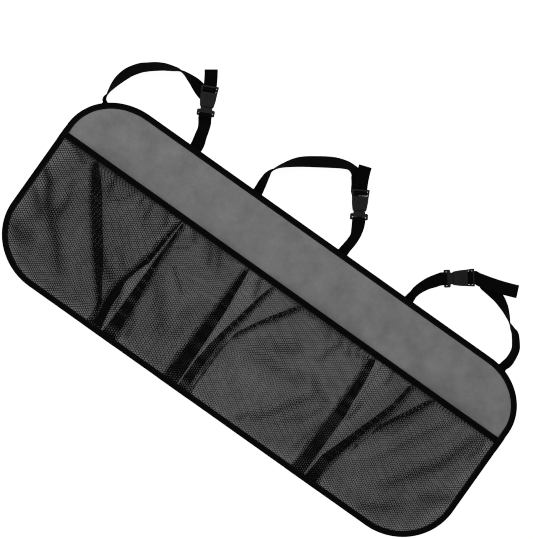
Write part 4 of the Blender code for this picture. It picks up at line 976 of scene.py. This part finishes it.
for side, loop in loops.items():
    cap, lay = side.capitalize(), layLong(loop)
    makeWeb("longStrap" + cap, lay, "long_strap_" + side)
    sewHem("hemStitches" + cap, lay.stations)
    makeWeb("shortStrap" + cap, layShort(loop), "short_strap_" + side)
    for length in ("long", "short"):
        sewTab("tabStitches" + length.capitalize() + cap, loop[length + "Base"] * mm)
print("straps laid")


# Buckles keep their solids and get a moulded finish; raised ribs give the finger pads their grip

ribs = {"count": 5, "across": 9, "around": 7,
        **metres({"pitch": 2.1, "high": 0.35, "wide": 0.9, "half": 8.0, "shorter": 0.35, "back": 5.2, "sunk": 0.09})}


def makeRibs(side, loop):
    # low half-round bars across the top of the socket's shoulders
    lay, columns = Lay(loop), ribs["around"]
    turn, reach = np.linspace(0, np.pi, columns), np.linspace(-1, 1, ribs["across"])[:, None]
    size = np.sqrt(np.clip(1 - np.abs(reach) ** 8, 0.02, 1))
    first = np.arange(ribs["across"] - 1) * columns
    under = np.stack([first, first + columns, first + 2 * columns - 1, first + columns - 1], 1)
    bar = np.vstack([gridFaces(ribs["across"], columns), under])
    points, faces = [], []
    for k in range(ribs["count"]):
        x = reach * (ribs["half"] - ribs["shorter"] * k) + 0 * turn
        y = bodyEnd - ribs["back"] - k * ribs["pitch"] + size * np.cos(turn) * ribs["wide"] / 2
        z = buckle["high"] - ribs["sunk"] + size * np.sin(turn) * ribs["high"]
        points.append(np.stack([x, y, z], -1).reshape(-1, 3))
        faces.append(bar + k * ribs["across"] * columns)
    points = np.vstack(points) @ np.stack([lay.across, lay.along, lay.up]) + lay.origin
    piece = makePiece("gripRibs" + side.capitalize(), points, np.vstack(faces), smoothAngle=50)
    return dress(piece, plastic, "plastic")


for side, loop in loops.items():
    for kind in ("socket", "prong"):
        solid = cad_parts[f"buckle_{kind}_{side}"]
        solid.data.materials.clear()
        solid.data.materials.append(plastic)
    makeRibs(side, loop)
print("buckles finished")


# Floor and light: white paper under a soft even sky, with one broad lamp

studio = {"floor": 0.86, "half": 6, "below": 0.0003, "glow": 1.04, "glowShare": 0.92, "sky": 0.66, "lamp": 16.0,
          "lampSize": 1.1, "lampAt": (-0.7, 1.2, 1.7)}


def makeFloor():
    # paper to the light, and nearly even white to the camera, whose rays are the light path's first output
    corners = [(x * studio["half"], y * studio["half"], -studio["below"])
               for x, y in ((-1, -1), (1, -1), (1, 1), (-1, 1))]
    floor = makePiece("paperFloor", corners, [(0, 1, 2, 3)], smoothAngle=180, recalc=False)
    made = Finish("whitePaper", Base_Color=(*[studio["floor"]] * 3, 1), Roughness=1.0, Specular_IOR_Level=0.0)
    share = made.node("ShaderNodeLightPath") * studio["glowShare"]
    mixed = made.node("ShaderNodeMixShader", _0=share, _1=Socket(made.tree, made.shader.outputs[0]),
                      _2=made.node("ShaderNodeEmission", Strength=studio["glow"]))
    feed(made.tree, made.tree.nodes["Material Output"].inputs["Surface"], mixed)
    floor.data.materials.append(made.material)


def lightScene():
    world = bpy.data.worlds.new("softSky")
    world.use_nodes = True
    tree = world.node_tree
    sky, seen = tree.nodes["Background"], tree.nodes.new("ShaderNodeMix")
    seen.data_type = "FLOAT"
    byCamera = Socket(tree, tree.nodes.new("ShaderNodeLightPath").outputs[0])
    for place, value in ((0, byCamera), (2, studio["sky"]), (3, 1.0)):
        feed(tree, seen.inputs[place], value)
    sky.inputs["Color"].default_value = (1, 1, 1, 1)
    tree.links.new(seen.outputs[0], sky.inputs["Strength"])
    sceneData.world = world
    lamp = bpy.data.objects.new("broadLamp", bpy.data.lights.new("broadLamp", "AREA"))
    sceneData.collection.objects.link(lamp)
    lamp.data.size, lamp.data.energy, lamp.location = studio["lampSize"], studio["lamp"], studio["lampAt"]
    x, y, z = studio["lampAt"]
    lamp.rotation_euler = (math.atan2(math.hypot(x, y), z), 0, math.atan2(-y, -x) - math.pi / 2)


makeFloor()
lightScene()
print("floor and lights set")
